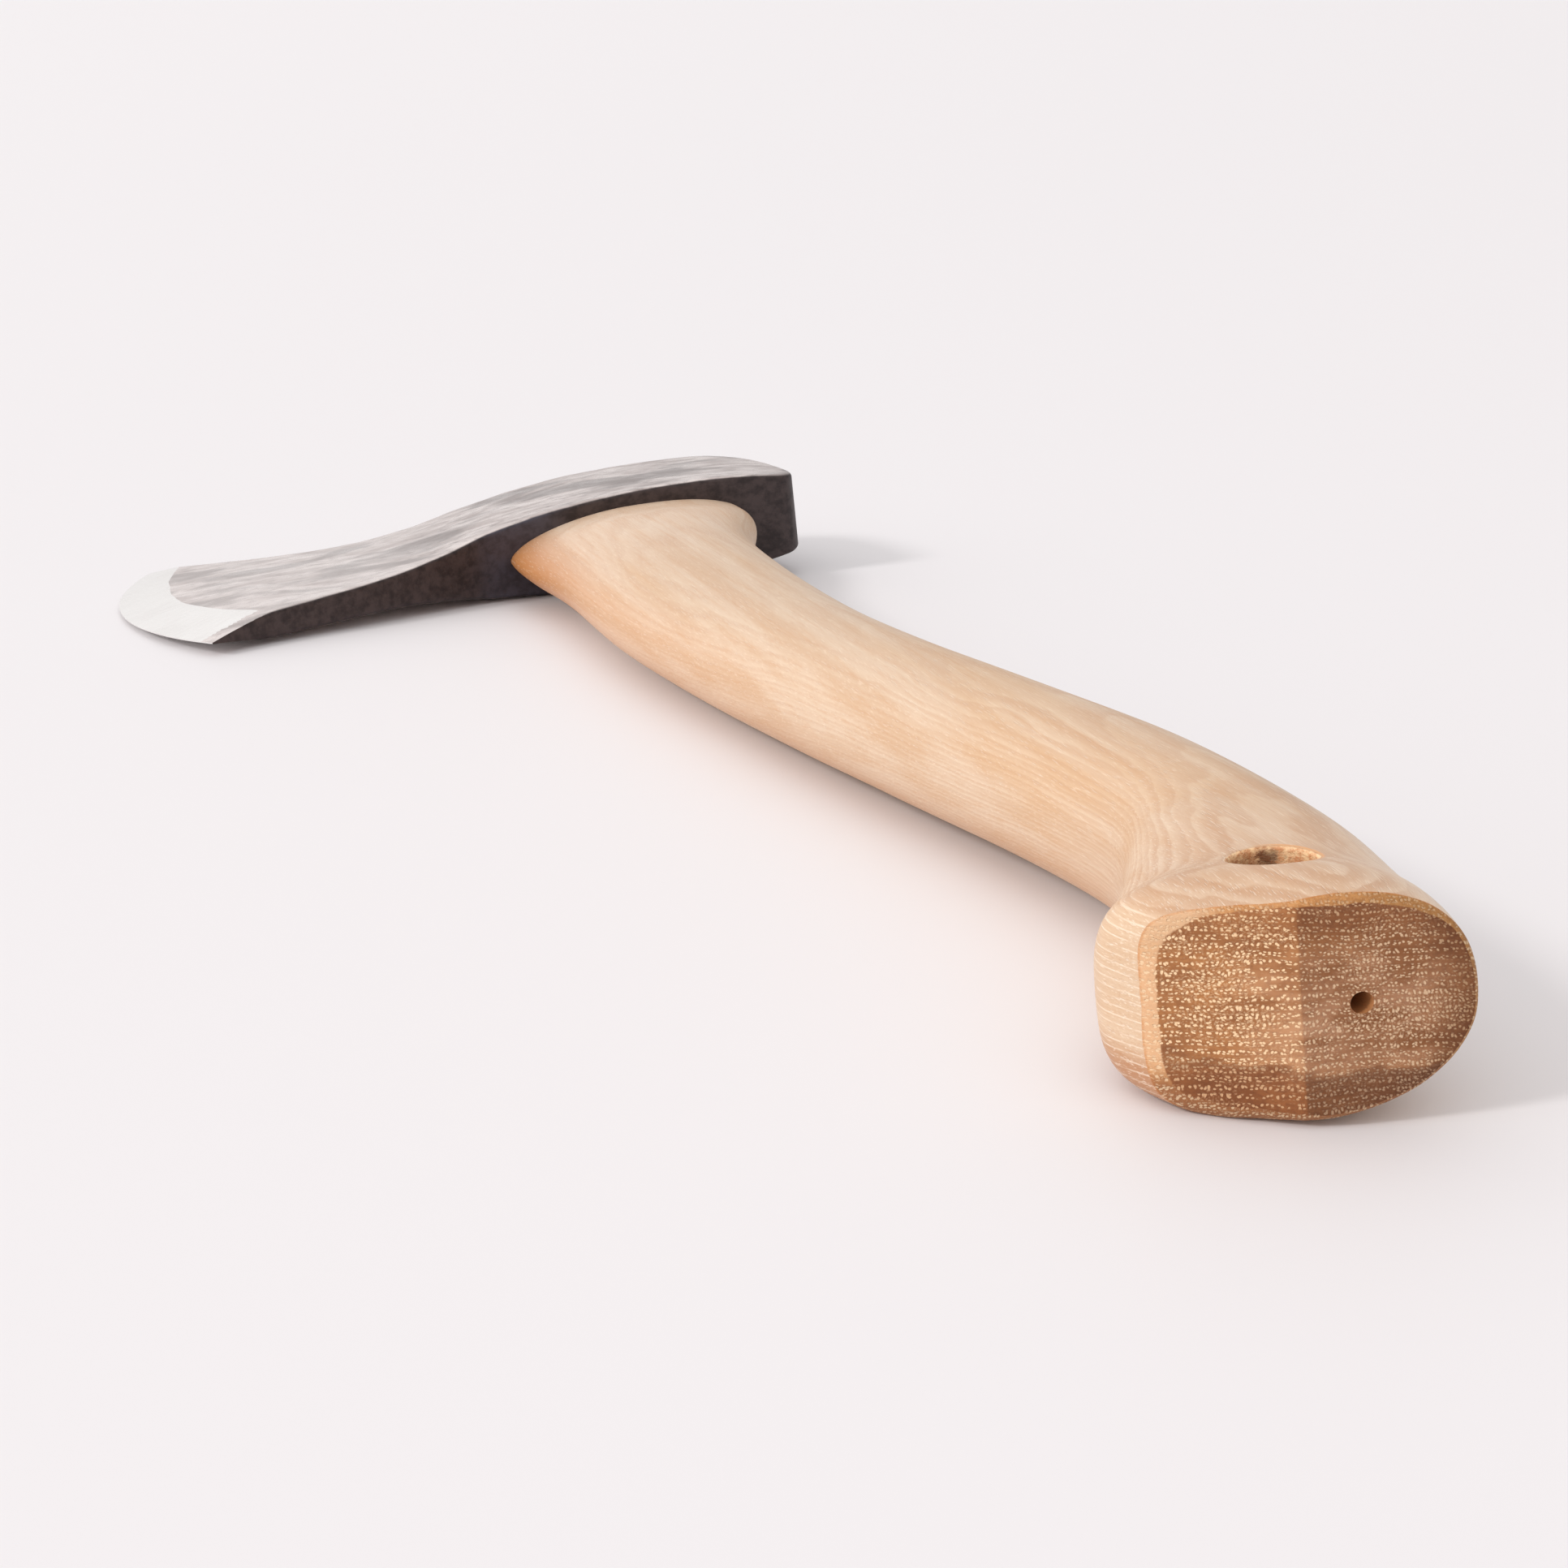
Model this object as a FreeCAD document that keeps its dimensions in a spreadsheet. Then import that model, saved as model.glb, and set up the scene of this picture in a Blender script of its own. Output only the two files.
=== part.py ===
import FreeCAD, Part
import math
import os
from FreeCAD import Vector, Rotation, Placement

# Hatchet: forged steel head on a curved ash handle, fixed with a wooden wedge
# and a steel cross wedge.
#
# Every piece is drawn in the tool's own working frame and then laid down by one
# common resting placement:
#   x : from the cutting edge (-) to the poll (+)
#   y : from the knob (-) to the top of the eye (+), y = 0 at the lower eye rim
#   z : across the cheeks, z = 0 in the middle plane of blade and handle
# The resting placement lays the tool on its side, where the heel of the edge,
# the cheek of the eye and the knob touch the ground.  After it +Z is up, +Y
# runs along the handle to the head and +X points to the poll, and the origin
# is in the middle of the footprint, on the ground.

doc = FreeCAD.newDocument("hatchet")

# --------------------------------------------------------------- dimensions
sheet = doc.addObject("Spreadsheet::Sheet", "dims")
sheet.Label = "dims"
DIMS = [
    # cutting edge
    ("edge_cx", -32.21, "centre of the edge arc, x"),
    ("edge_cy", 7.19, "centre of the edge arc, y"),
    ("edge_rad", 79.00, "radius of the edge arc in plan"),
    ("edge_land", 0.12, "half thickness left at the very edge"),
    ("bevel_run", 16.0, "radial run of the grinding cone"),
    ("bevel_deg", 9.4, "half angle of the ground bevel"),
    # head
    ("head_round", 0.9, "rounding of the forged outline"),
    # tongue of the handle and eye of the head (two end sections, straight sides)
    ("tongue_low", -4.4, "y of the lower end of the straight tongue"),
    ("tongue_top", 45.5, "y of the upper end of the tongue"),
    ("low_front", -28.19, "front of the section at the lower end, x"),
    ("low_back", 26.51, "back of the section at the lower end, x"),
    ("low_thick", 14.8, "thickness of the lower section"),
    ("top_front", -25.6, "front of the section at the upper end, x"),
    ("top_back", 25.4, "back of the section at the upper end, x"),
    ("top_thick", 15.8, "thickness of the upper section"),
    # kerf and wooden wedge
    ("kerf_floor", 8.0, "y of the bottom of the kerf"),
    ("kerf_thin", 0.7, "half width of the kerf at its bottom"),
    ("kerf_wide", 2.1, "half width of the kerf at the top"),
    # steel cross wedge
    ("cross_x", 5.0, "middle of the cross wedge along the eye"),
    ("cross_span", 11.4, "width of the cross wedge across the kerf"),
    ("cross_deep", 17.0, "driven depth of the cross wedge"),
    ("cross_thin", 0.35, "half thickness at its tip"),
    ("cross_wide", 1.35, "half thickness at its head"),
    ("cross_top", 45.3, "y of its driven head"),
    # knob end
    ("end_x", 2.0, "ridge between the two end cuts, x"),
    ("end_y", -336.0, "ridge between the two end cuts, y"),
    ("toe_cut_deg", 33.0, "slope of the toe cut"),
    ("heel_cut_deg", 11.0, "slope of the flat end cut"),
    ("end_break", 0.8, "broken edge round the end cuts"),
    ("cord_x", 6.8, "lanyard hole, x"),
    ("cord_y", -319.2, "lanyard hole, y"),
    ("cord_rad", 5.5, "lanyard hole, radius"),
    ("cord_break", 0.5, "chamfer of the lanyard hole"),
    ("pin_x", 9.1, "spur hole in the end cut, x"),
    ("pin_z", 0.6, "spur hole in the end cut, z"),
    ("pin_rad", 1.4, "spur hole, radius"),
    ("pin_floor", -329.5, "y of the bottom of the spur hole"),
    # resting placement
    ("rest_tilt", 5.0803, "turn about y that lowers the edge, degrees"),
    ("rest_roll", -0.5916, "turn about x that lowers the knob, degrees"),
    ("rest_dx", 35.517, "shift to the middle of the footprint, x"),
    ("rest_dy", 147.152, "shift to the middle of the footprint, y"),
    ("rest_dz", 10.966, "lift onto the ground"),
]
for row, (name, value, note) in enumerate(DIMS, start=1):
    sheet.set("A%d" % row, name)
    sheet.set("B%d" % row, repr(value))
    sheet.set("C%d" % row, note)
    sheet.setAlias("B%d" % row, name)
doc.recompute()


def dim(name):
    return float(sheet.get(name))


# --------------------------------------------------------------- helpers
def plane(body, role):
    for item in body.Origin.OriginFeatures:
        if item.Role == role:
            return item
    raise RuntimeError("no plane " + role)


def new_body(label):
    body = doc.addObject("PartDesign::Body", label)
    body.Label = label
    return body


def new_sketch(body, name, role, offset=None):
    sk = body.newObject("Sketcher::SketchObject", name)
    sk.AttachmentSupport = [(plane(body, role), "")]
    sk.MapMode = "FlatFace"
    if offset is not None:
        sk.AttachmentOffset = offset
    sk.Visibility = False
    return sk


def even_points(dense, count):
    # equal steps of arc length along an open run of points, both ends kept
    run = [0.0]
    for a, b in zip(dense[:-1], dense[1:]):
        run.append(run[-1] + math.hypot(b[0] - a[0], b[1] - a[1]))
    out = []
    k = 0
    for i in range(count + 1):
        goal = run[-1] * i / count
        while k < len(run) - 2 and run[k + 1] < goal:
            k += 1
        span = run[k + 1] - run[k]
        f = (goal - run[k]) / span if span > 0 else 0.0
        out.append((dense[k][0] + f * (dense[k + 1][0] - dense[k][0]),
                    dense[k][1] + f * (dense[k + 1][1] - dense[k][1])))
    return out


def egg(half_len, up_thick, low_thick, n_back, n_top, n_front, n_under, taper=0.0, per_quarter=8):
    # closed egg-shaped section: superellipse with its own exponent on each
    # quarter (upper back, upper front, lower front, lower back) and its own
    # half thickness above and below the middle plane; taper lowers the upper
    # front quarter evenly towards the front
    pts = []
    for quarter in range(4):
        dense = []
        for i in range(181):
            a = math.pi / 2 * (quarter + i / 180.0)
            ca, sa = math.cos(a), math.sin(a)
            if abs(ca) < 1e-12:
                ca = 0.0
            if abs(sa) < 1e-12:
                sa = 0.0
            n = (n_back, n_top, n_front, n_under)[quarter]
            half_thick = up_thick if quarter < 2 else low_thick
            u = math.copysign(abs(ca) ** (2.0 / n), ca)
            w = math.copysign(abs(sa) ** (2.0 / n), sa)
            if quarter == 1:
                w *= 1.0 - taper * abs(u)
            dense.append((u * half_len, w * half_thick))
        pts += even_points(dense, per_quarter)[:-1]
    return pts


def closed_spline(pts):
    curve = Part.BSplineCurve()
    count = len(pts)
    curve.interpolate(Points=[Vector(p[0], p[1], 0) for p in pts],
                      PeriodicFlag=True,
                      Parameters=[i / float(count) for i in range(count + 1)])
    return curve


def open_spline(pts, start=None, end=None):
    curve = Part.BSplineCurve()
    points = [Vector(p[0], p[1], 0) for p in pts]
    if start is not None:
        curve.interpolate(Points=points, InitialTangent=Vector(start[0], start[1], 0),
                          FinalTangent=Vector(end[0], end[1], 0))
    else:
        curve.interpolate(Points=points)
    return curve


def handle_section(body, name, st):
    # a section stands square to the middle plane, across the handle from its
    # front point (fx, fy) to its back point (bx, by)
    # lift raises the upper half of the section, n_top shapes its front shoulder,
    # and taper slopes it
    fx, fy, bx, by, thick, n_front, n_back = st[:7]
    lift, n_top = st[7:9] if len(st) > 7 else (0.0, n_front)
    taper = st[9] if len(st) > 9 else 0.0
    n_under = n_back - 0.5 * min(1.0, max(0.0, (thick - 25.5) / 1.6))
    cx, cy = (fx + bx) / 2.0, (fy + by) / 2.0
    dx, dy = bx - fx, by - fy
    length = math.hypot(dx, dy)
    ux = Vector(dx / length, dy / length, 0)
    place = Placement(Vector(cx, cy, 0),
                      Rotation(ux, Vector(0, 0, 1), ux.cross(Vector(0, 0, 1)), "XYZ"))
    sk = new_sketch(body, name, "XY_Plane", place)
    sk.addGeometry(closed_spline(egg(length / 2.0, thick / 2.0 + lift, thick / 2.0,
                                   n_back, n_top, n_front, n_under, taper)), False)
    return sk


def loft(body, name, kind, sketches):
    feature = body.newObject(kind, name)
    feature.Profile = sketches[0]
    feature.Sections = sketches[1:]
    feature.Ruled = False
    feature.Closed = False
    return feature


def fix_points(sk, pts, names):
    # closed polygon with each corner held by two bound dimensions
    n = len(pts)
    first = sk.GeometryCount
    for i in range(n):
        a, b = pts[i], pts[(i + 1) % n]
        sk.addGeometry(Part.LineSegment(Vector(a[0], a[1], 0), Vector(b[0], b[1], 0)), False)
    import Sketcher
    for i in range(n):
        sk.addConstraint(Sketcher.Constraint("Coincident", first + i, 2, first + (i + 1) % n, 1))
    for i in range(n):
        for axis, k in (("DistanceX", 0), ("DistanceY", 1)):
            c = sk.addConstraint(Sketcher.Constraint(axis, -1, 1, first + i, 1, pts[i][k]))
            formula = names[i][k]
            if formula:
                sk.setExpression("Constraints[%d]" % c, formula)


def through(body, name, sk, kind="PartDesign::Pocket"):
    cut = body.newObject(kind, name)
    cut.Profile = sk
    cut.Type = "ThroughAll"
    cut.SideType = "Symmetric"
    return cut


def facet_volume(shape):
    # volume of the facetted shape: steadier than the surface integral on the
    # long spline walls
    points, facets = shape.tessellate(0.02)
    total = 0.0
    for a, b, c in facets:
        total += points[a].dot(points[b].cross(points[c])) / 6.0
    return total


def settle(body, before=None, name=""):
    doc.recompute()
    for obj in body.Group:
        if "Invalid" in obj.State or "Error" in obj.State:
            raise RuntimeError("failed: %s %s" % (obj.Name, obj.State))
    volume = facet_volume(body.Tip.Shape)
    if before is not None and not volume < before - 0.5:
        raise RuntimeError("no material removed by " + name)
    return volume


# tongue sections, shared by the handle, the wooden wedge and the eye
TONGUE_N = (1.75, 2.5)


def tongue_sections(body, prefix, low=None, top=None):
    y0, y1 = dim("tongue_low"), dim("tongue_top")
    rows = [(y0, dim("low_front"), dim("low_back"), dim("low_thick")),
            (y1, dim("top_front"), dim("top_back"), dim("top_thick"))]

    def at(y):
        # straight sides: every size changes evenly between the two ends
        f = (y - y0) / (y1 - y0)
        a, b = rows
        return (y, a[1] + f * (b[1] - a[1]), a[2] + f * (b[2] - a[2]), a[3] + f * (b[3] - a[3]))

    ys = (y0 if low is None else low, y1 if top is None else top)
    out = []
    for i, y in enumerate(ys):
        yy, front, back, thick = at(y)
        out.append(handle_section(body, "%s_section_%d" % (prefix, i),
                                  (front, yy, back, yy, thick) + TONGUE_N))
    return out


# --------------------------------------------------------------- handle
# front point x, y; back point x, y; thickness; exponents of front and back;
# at the knob also the lift of the upper half and the exponent of its front shoulder
HANDLE = [
    (-28.30,   -9.23,   25.85,   -9.23,   15.75,    1.77,    2.50),
    (-27.99,  -15.07,   24.28,  -15.07,   17.21,    1.80,    2.45),
    (-27.32,  -21.87,   22.04,  -21.87,   18.29,    1.82,    2.42),
    (-26.22,  -29.67,   19.84,  -29.67,   18.78,    1.85,    2.40),
    (-24.99,  -45.32,   17.18,  -45.28,   19.51,    1.89,    2.36),
    (-24.71,  -61.94,   16.07,  -61.89,   20.14,    1.93,    2.31),
    (-24.04,  -82.38,   15.45,  -82.53,   20.74,    1.98,    2.28),
    (-22.15, -103.80,   15.02, -104.11,   21.23,    2.02,    2.26),
    (-19.22, -126.54,   15.25, -126.24,   21.73,    2.06,    2.24),
    (-15.83, -148.74,   16.39, -146.84,   22.20,    2.08,    2.22),
    (-12.30, -170.04,   18.34, -166.24,   22.61,    2.10,    2.20),
    ( -8.71, -191.14,   21.03, -185.71,   22.92,    2.12,    2.20),
    ( -5.62, -208.86,   23.61, -202.73,   23.16,    2.14,    2.20),
    ( -2.68, -225.11,   25.98, -219.31,   23.47,    2.15,    2.20),
    ( -0.03, -239.86,   27.84, -235.54,   23.88,    2.17,    2.24),
    (  1.99, -253.11,   28.88, -251.46,   24.40,    2.19,    2.29),
    (  3.01, -263.31,   29.03, -264.72,   25.03,    2.24,    2.33),
    (  2.93, -272.56,   28.77, -277.00,   25.83,    2.32,    2.37),
    (  1.46, -281.15,   28.47, -287.91,   26.49,    2.42,    2.41),
    ( -1.64, -289.90,   28.13, -298.45,   27.09,    2.56,    2.46),
    (-5.14, -296.61, 27.55, -306.85, 27.44, 2.69, 2.50, 0.0, 2.35),
    (-9.81, -303.59, 26.37, -316.50, 27.64, 2.85, 2.55, -0.15, 2.20),
    (-13.52, -309.64, 25.14, -325.27, 27.77, 3.50, 2.59, 0.15, 2.30),
    (-15.70, -315.98, 24.01, -334.16, 27.92, 4.40, 2.60, 1.15, 3.60, 0.05),
    (-14.40, -322.53, 22.10, -342.95, 27.95, 4.60, 2.50, 0.60, 6.00, 0.10),
    (-12.20, -329.92, 18.00, -352.37, 26.90, 4.60, 2.40, -0.20, 6.50, 0.12),
]
handle = new_body("handle")
tongue = tongue_sections(handle, "tongue")
loft(handle, "tongue", "PartDesign::AdditiveLoft", tongue)
doc.recompute()
low = (dim("low_front"), dim("tongue_low"), dim("low_back"), dim("tongue_low"), dim("low_thick")) + TONGUE_N
grip = [handle_section(handle, "grip_section_00", low)]
for i, st in enumerate(HANDLE, start=1):
    grip.append(handle_section(handle, "grip_section_%02d" % i, st))
loft(handle, "grip", "PartDesign::AdditiveLoft", grip)
solid = settle(handle)

# the two flat end cuts of the knob meet in a ridge that runs across the handle
ex, ey = dim("end_x"), dim("end_y")
ta, ha = math.radians(dim("toe_cut_deg")), math.radians(dim("heel_cut_deg"))
ends = new_sketch(handle, "end_cut_lines", "XY_Plane")
fix_points(ends,
           [(ex, ey), (ex + 60, ey - 60 * math.tan(ha)), (ex + 60, ey - 60),
            (ex - 60, ey - 60), (ex - 60, ey + 60 * math.tan(ta))],
           [("dims.end_x", "dims.end_y"),
            ("dims.end_x + 60", "dims.end_y - 60 * tan(dims.heel_cut_deg * 1 deg)"),
            ("dims.end_x + 60", "dims.end_y - 60"),
            ("dims.end_x - 60", "dims.end_y - 60"),
            ("dims.end_x - 60", "dims.end_y + 60 * tan(dims.toe_cut_deg * 1 deg)")])
through(handle, "end_cuts", ends)
solid = settle(handle, solid, "end_cuts")


def edges_where(shape, test):
    return ["Edge%d" % (i + 1) for i, e in enumerate(shape.Edges) if test(e)]


def on_end_cuts(edge):
    for v in edge.discretize(9):
        d1 = (v.x - ex) * -math.sin(ta) + (v.y - ey) * -math.cos(ta)
        d2 = (v.x - ex) * -math.sin(ha) + (v.y - ey) * -math.cos(ha)
        if min(abs(d1), abs(d2)) > 1e-3:
            return False
    # leave the ridge itself crisp
    vs = edge.discretize(3)
    return max(math.hypot(v.x - ex, v.y - ey) for v in vs) > 1e-3


last = handle.Tip
brk = handle.newObject("PartDesign::Fillet", "end_break")
brk.Base = (last, edges_where(last.Shape, on_end_cuts))
brk.Radius = dim("end_break")
brk.setExpression("Radius", "dims.end_break")
solid = settle(handle, solid, "end_break")

# lanyard hole, square through the knob, with broken rims
import Sketcher
cord = new_sketch(handle, "lanyard_circle", "XY_Plane")
cord.addGeometry(Part.Circle(Vector(dim("cord_x"), dim("cord_y"), 0), Vector(0, 0, 1), dim("cord_rad")), False)
c = cord.addConstraint(Sketcher.Constraint("Radius", 0, dim("cord_rad")))
cord.setExpression("Constraints[%d]" % c, "dims.cord_rad")
c = cord.addConstraint(Sketcher.Constraint("DistanceX", -1, 1, 0, 3, dim("cord_x")))
cord.setExpression("Constraints[%d]" % c, "dims.cord_x")
c = cord.addConstraint(Sketcher.Constraint("DistanceY", -1, 1, 0, 3, dim("cord_y")))
cord.setExpression("Constraints[%d]" % c, "dims.cord_y")
through(handle, "lanyard_hole", cord)
solid = settle(handle, solid, "lanyard_hole")


def on_lanyard_rim(edge):
    vs = edge.discretize(9)
    near = all(abs(math.hypot(v.x - dim("cord_x"), v.y - dim("cord_y")) - dim("cord_rad")) < 1e-2 for v in vs)
    return near and max(v.z for v in vs) * min(v.z for v in vs) > 0


last = handle.Tip
rim = handle.newObject("PartDesign::Chamfer", "lanyard_break")
rim.Base = (last, edges_where(last.Shape, on_lanyard_rim))
rim.Size = dim("cord_break")
rim.setExpression("Size", "dims.cord_break")
solid = settle(handle, solid, "lanyard_break")

# small blind spur hole left in the end cut by the turning spindle
spur = new_sketch(handle, "spur_circle", "XZ_Plane",
                  Placement(Vector(0, 0, -dim("pin_floor")), Rotation()))
spur.addGeometry(Part.Circle(Vector(dim("pin_x"), dim("pin_z"), 0), Vector(0, 0, 1), dim("pin_rad")), False)
c = spur.addConstraint(Sketcher.Constraint("Radius", 0, dim("pin_rad")))
spur.setExpression("Constraints[%d]" % c, "dims.pin_rad")
c = spur.addConstraint(Sketcher.Constraint("DistanceX", -1, 1, 0, 3, dim("pin_x")))
spur.setExpression("Constraints[%d]" % c, "dims.pin_x")
c = spur.addConstraint(Sketcher.Constraint("DistanceY", -1, 1, 0, 3, dim("pin_z")))
spur.setExpression("Constraints[%d]" % c, "dims.pin_z")
spur_cut = handle.newObject("PartDesign::Pocket", "spur_hole")
spur_cut.Profile = spur
spur_cut.Type = "Length"
spur_cut.Length = 20
spur_cut.Reversed = True
solid = settle(handle, solid, "spur_hole")


# kerf along the tongue; sketch on the YZ plane: first axis y, second axis z
def kerf_corners(top_extra):
    y0, y1 = dim("kerf_floor"), dim("tongue_top")
    w0, w1 = dim("kerf_thin"), dim("kerf_wide")
    slope = (w1 - w0) / (y1 - y0)
    yt = y1 + top_extra
    wt = w1 + slope * top_extra
    grow = "dims.kerf_wide + (dims.kerf_wide - dims.kerf_thin) / (dims.tongue_top - dims.kerf_floor) * %g" % top_extra
    pts = [(y0, -w0), (yt, -wt), (yt, wt), (y0, w0)]
    names = [("dims.kerf_floor", ""), ("dims.tongue_top + %g" % top_extra, ""),
             ("dims.tongue_top + %g" % top_extra, grow), ("dims.kerf_floor", "dims.kerf_thin")]
    return pts, names


kerf = new_sketch(handle, "kerf_profile", "YZ_Plane")
pts, names = kerf_corners(5.0)
fix_points(kerf, pts, names)
through(handle, "kerf", kerf)
solid = settle(handle, solid, "kerf")


# slot for the steel cross wedge, driven down through both halves of the tongue
def cross_corners(extra):
    x0 = dim("cross_x")
    y0, y1 = dim("cross_top") - dim("cross_deep"), dim("cross_top")
    w0, w1 = dim("cross_thin"), dim("cross_wide")
    slope = (w1 - w0) / (y1 - y0)
    yt = y1 + extra
    wt = w1 + slope * extra
    return [(x0 - w0, y0), (x0 - wt, yt), (x0 + wt, yt), (x0 + w0, y0)]


CROSS_NAMES = [("dims.cross_x - dims.cross_thin", "dims.cross_top - dims.cross_deep"), ("", ""), ("", ""),
               ("dims.cross_x + dims.cross_thin", "dims.cross_top - dims.cross_deep")]


def cross_cut(body, extra=4.0):
    sk = new_sketch(body, "cross_profile", "XY_Plane")
    fix_points(sk, cross_corners(extra), CROSS_NAMES)
    cut = body.newObject("PartDesign::Pocket", "cross_slot")
    cut.Profile = sk
    cut.Type = "Length"
    cut.Length = dim("cross_span")
    cut.setExpression("Length", "dims.cross_span")
    cut.SideType = "Symmetric"
    return cut


cross_cut(handle)
solid = settle(handle, solid, "cross_slot")

# --------------------------------------------------------------- wooden wedge
wood_wedge = new_body("wood_wedge")
loft(wood_wedge, "tongue_core", "PartDesign::AdditiveLoft", tongue_sections(wood_wedge, "core"))
solid = settle(wood_wedge)
trim = new_sketch(wood_wedge, "wedge_profile", "YZ_Plane")
pts, names = kerf_corners(0.0)
fix_points(trim, pts, names)
fix_points(trim, [(-60, -40), (60, -40), (60, 40), (-60, 40)], [("", "")] * 4)
through(wood_wedge, "wedge_faces", trim)
solid = settle(wood_wedge, solid, "wedge_faces")
cross_cut(wood_wedge)
solid = settle(wood_wedge, solid, "cross_slot")

# --------------------------------------------------------------- steel wedge
steel_wedge = new_body("steel_wedge")
blade = new_sketch(steel_wedge, "cross_profile", "XY_Plane")
fix_points(blade, cross_corners(0.0), CROSS_NAMES)
pad = steel_wedge.newObject("PartDesign::Pad", "cross_wedge")
pad.Profile = blade
pad.Length = dim("cross_span")
pad.setExpression("Length", "dims.cross_span")
pad.SideType = "Symmetric"
settle(steel_wedge)

# --------------------------------------------------------------- head
# forged blank: sections square to x, each with two gently crowned cheeks,
# thicker at the lower side (beard and eye rim) than at the upper side
# x; lower end y; upper end y; half thickness at the lower end, middle, upper end
HEAD = [
    (-116.0, -65.0, 54.0,  1.12,  1.45,  1.10),
    (-108.0, -56.0, 52.0,  1.15,  1.72,  1.10),
    (-100.0, -47.0, 49.0,  1.20,  2.08,  1.12),
    ( -94.0, -42.0, 45.0,  1.85,  2.42,  1.25),
    ( -86.0, -36.0, 42.0,  2.65,  2.78,  1.55),
    ( -78.0, -32.0, 38.0,  2.95,  2.96,  1.80),
    ( -70.0, -29.0, 36.0,  3.10,  3.08,  2.00),
    ( -62.0, -25.0, 35.0,  3.35,  3.26,  2.28),
    ( -54.0, -20.0, 35.0,  3.85,  3.70,  2.80),
    ( -47.0, -17.0, 36.0,  4.65,  4.50,  3.55),
    ( -41.0, -14.0, 37.0,  5.65,  5.46,  4.50),
    ( -35.0, -11.0, 38.0,  6.80,  6.60,  5.62),
    ( -29.0,  -9.0, 39.0,  7.85,  7.64,  6.66),
    ( -22.0,  -7.0, 41.0,  8.80,  8.55,  7.65),
    ( -12.0,  -6.0, 43.0,  9.95,  9.66,  8.80),
    (  -2.0,  -5.0, 43.0, 10.58, 10.30,  9.48),
    (   8.0,  -5.0, 43.0, 10.85, 10.56,  9.75),
    (  18.0,  -5.0, 43.0, 10.78, 10.48,  9.68),
    (  28.0,  -5.0, 43.0, 10.15,  9.90,  9.15),
    (  43.0,  -5.0, 43.0,  7.90,  7.70,  7.10),
]
axe_head = new_body("axe_head")
sections = []
for i, (x, y0, y1, low_t, mid_t, top_t) in enumerate(HEAD):
    # sketch on the YZ plane: first axis y, second axis z
    sk = new_sketch(axe_head, "forge_section_%02d" % i, "YZ_Plane", Placement(Vector(0, 0, x), Rotation()))
    ym = (y0 + y1) / 2.0
    sk.addGeometry(Part.LineSegment(Vector(y0, low_t, 0), Vector(y0, -low_t, 0)), False)
    sk.addGeometry(Part.Arc(Vector(y0, -low_t, 0), Vector(ym, -mid_t, 0), Vector(y1, -top_t, 0)), False)
    sk.addGeometry(Part.LineSegment(Vector(y1, -top_t, 0), Vector(y1, top_t, 0)), False)
    sk.addGeometry(Part.Arc(Vector(y1, top_t, 0), Vector(ym, mid_t, 0), Vector(y0, low_t, 0)), False)
    sections.append(sk)
loft(axe_head, "forged_blank", "PartDesign::AdditiveLoft", sections)
solid = settle(axe_head)

# outline in plan; the blade runs on past the cutting edge and is ground off next
TOP = [(-125.0, 55.5), (-113.0, 49.6), (-102.0, 44.2), (-95.0, 40.7), (-87.0, 37.0), (-79.0, 34.1),
       (-70.0, 31.9), (-60.0, 31.0), (-50.0, 31.3), (-40.0, 32.6), (-30.0, 34.4), (-20.0, 36.2), (-10.0, 37.6),
       (0.0, 38.5), (10.0, 38.9), (20.0, 38.7)]
POLL = [(26.5, 37.6), (31.3, 34.6), (34.9, 29.8), (37.2, 23.5), (38.7, 16.0), (39.2, 9.0), (38.8, 4.8),
        (36.8, 1.8), (32.5, 0.8)]
LOWER = [(24.0, 0.7), (15.0, 0.6), (6.0, 0.3), (-2.0, -0.2), (-10.0, -1.0), (-18.0, -2.1), (-24.0, -3.2),
         (-30.0, -4.9), (-35.0, -6.8), (-40.0, -9.2), (-46.0, -12.3), (-54.0, -16.3), (-62.0, -20.4),
         (-70.0, -24.2), (-78.0, -27.9), (-85.0, -31.5), (-92.0, -36.0), (-97.0, -39.8), (-106.0, -46.8),
         (-125.0, -61.5)]
outline = new_sketch(axe_head, "outline", "XY_Plane")
outline.addGeometry(open_spline(TOP + POLL + LOWER), False)
outline.addGeometry(Part.LineSegment(Vector(-125, -61.5, 0), Vector(-125, 55.5, 0)), False)
for a, b in ((0, 1), (1, 0)):
    outline.addConstraint(Sketcher.Constraint("Coincident", a, 2, b, 1))
frame_pts = [(-160, -90), (80, -90), (80, 90), (-160, 90)]
for i in range(4):
    a, b = frame_pts[i], frame_pts[(i + 1) % 4]
    outline.addGeometry(Part.LineSegment(Vector(a[0], a[1], 0), Vector(b[0], b[1], 0)), False)
for i in range(4):
    outline.addConstraint(Sketcher.Constraint("Coincident", 2 + i, 2, 2 + (i + 1) % 4, 1))
through(axe_head, "outline_cut", outline)
solid = settle(axe_head, solid, "outline_cut")


def on_outline_rim(edge):
    # long edges between the crowned cheeks and the outline walls
    vs = edge.discretize(9)
    if abs(vs[0].x - vs[-1].x) < 1e-3 and abs(vs[0].y - vs[-1].y) < 1e-3:
        return False
    if min(abs(v.z) for v in vs) < 0.5:
        return False
    return max(v.x for v in vs) > -110.0


last = axe_head.Tip
rnd = axe_head.newObject("PartDesign::Fillet", "forged_edges")
rnd.Base = (last, edges_where(last.Shape, on_outline_rim))
rnd.Radius = dim("head_round")
rnd.setExpression("Radius", "dims.head_round")
solid = settle(axe_head, solid, "forged_edges")

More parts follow.
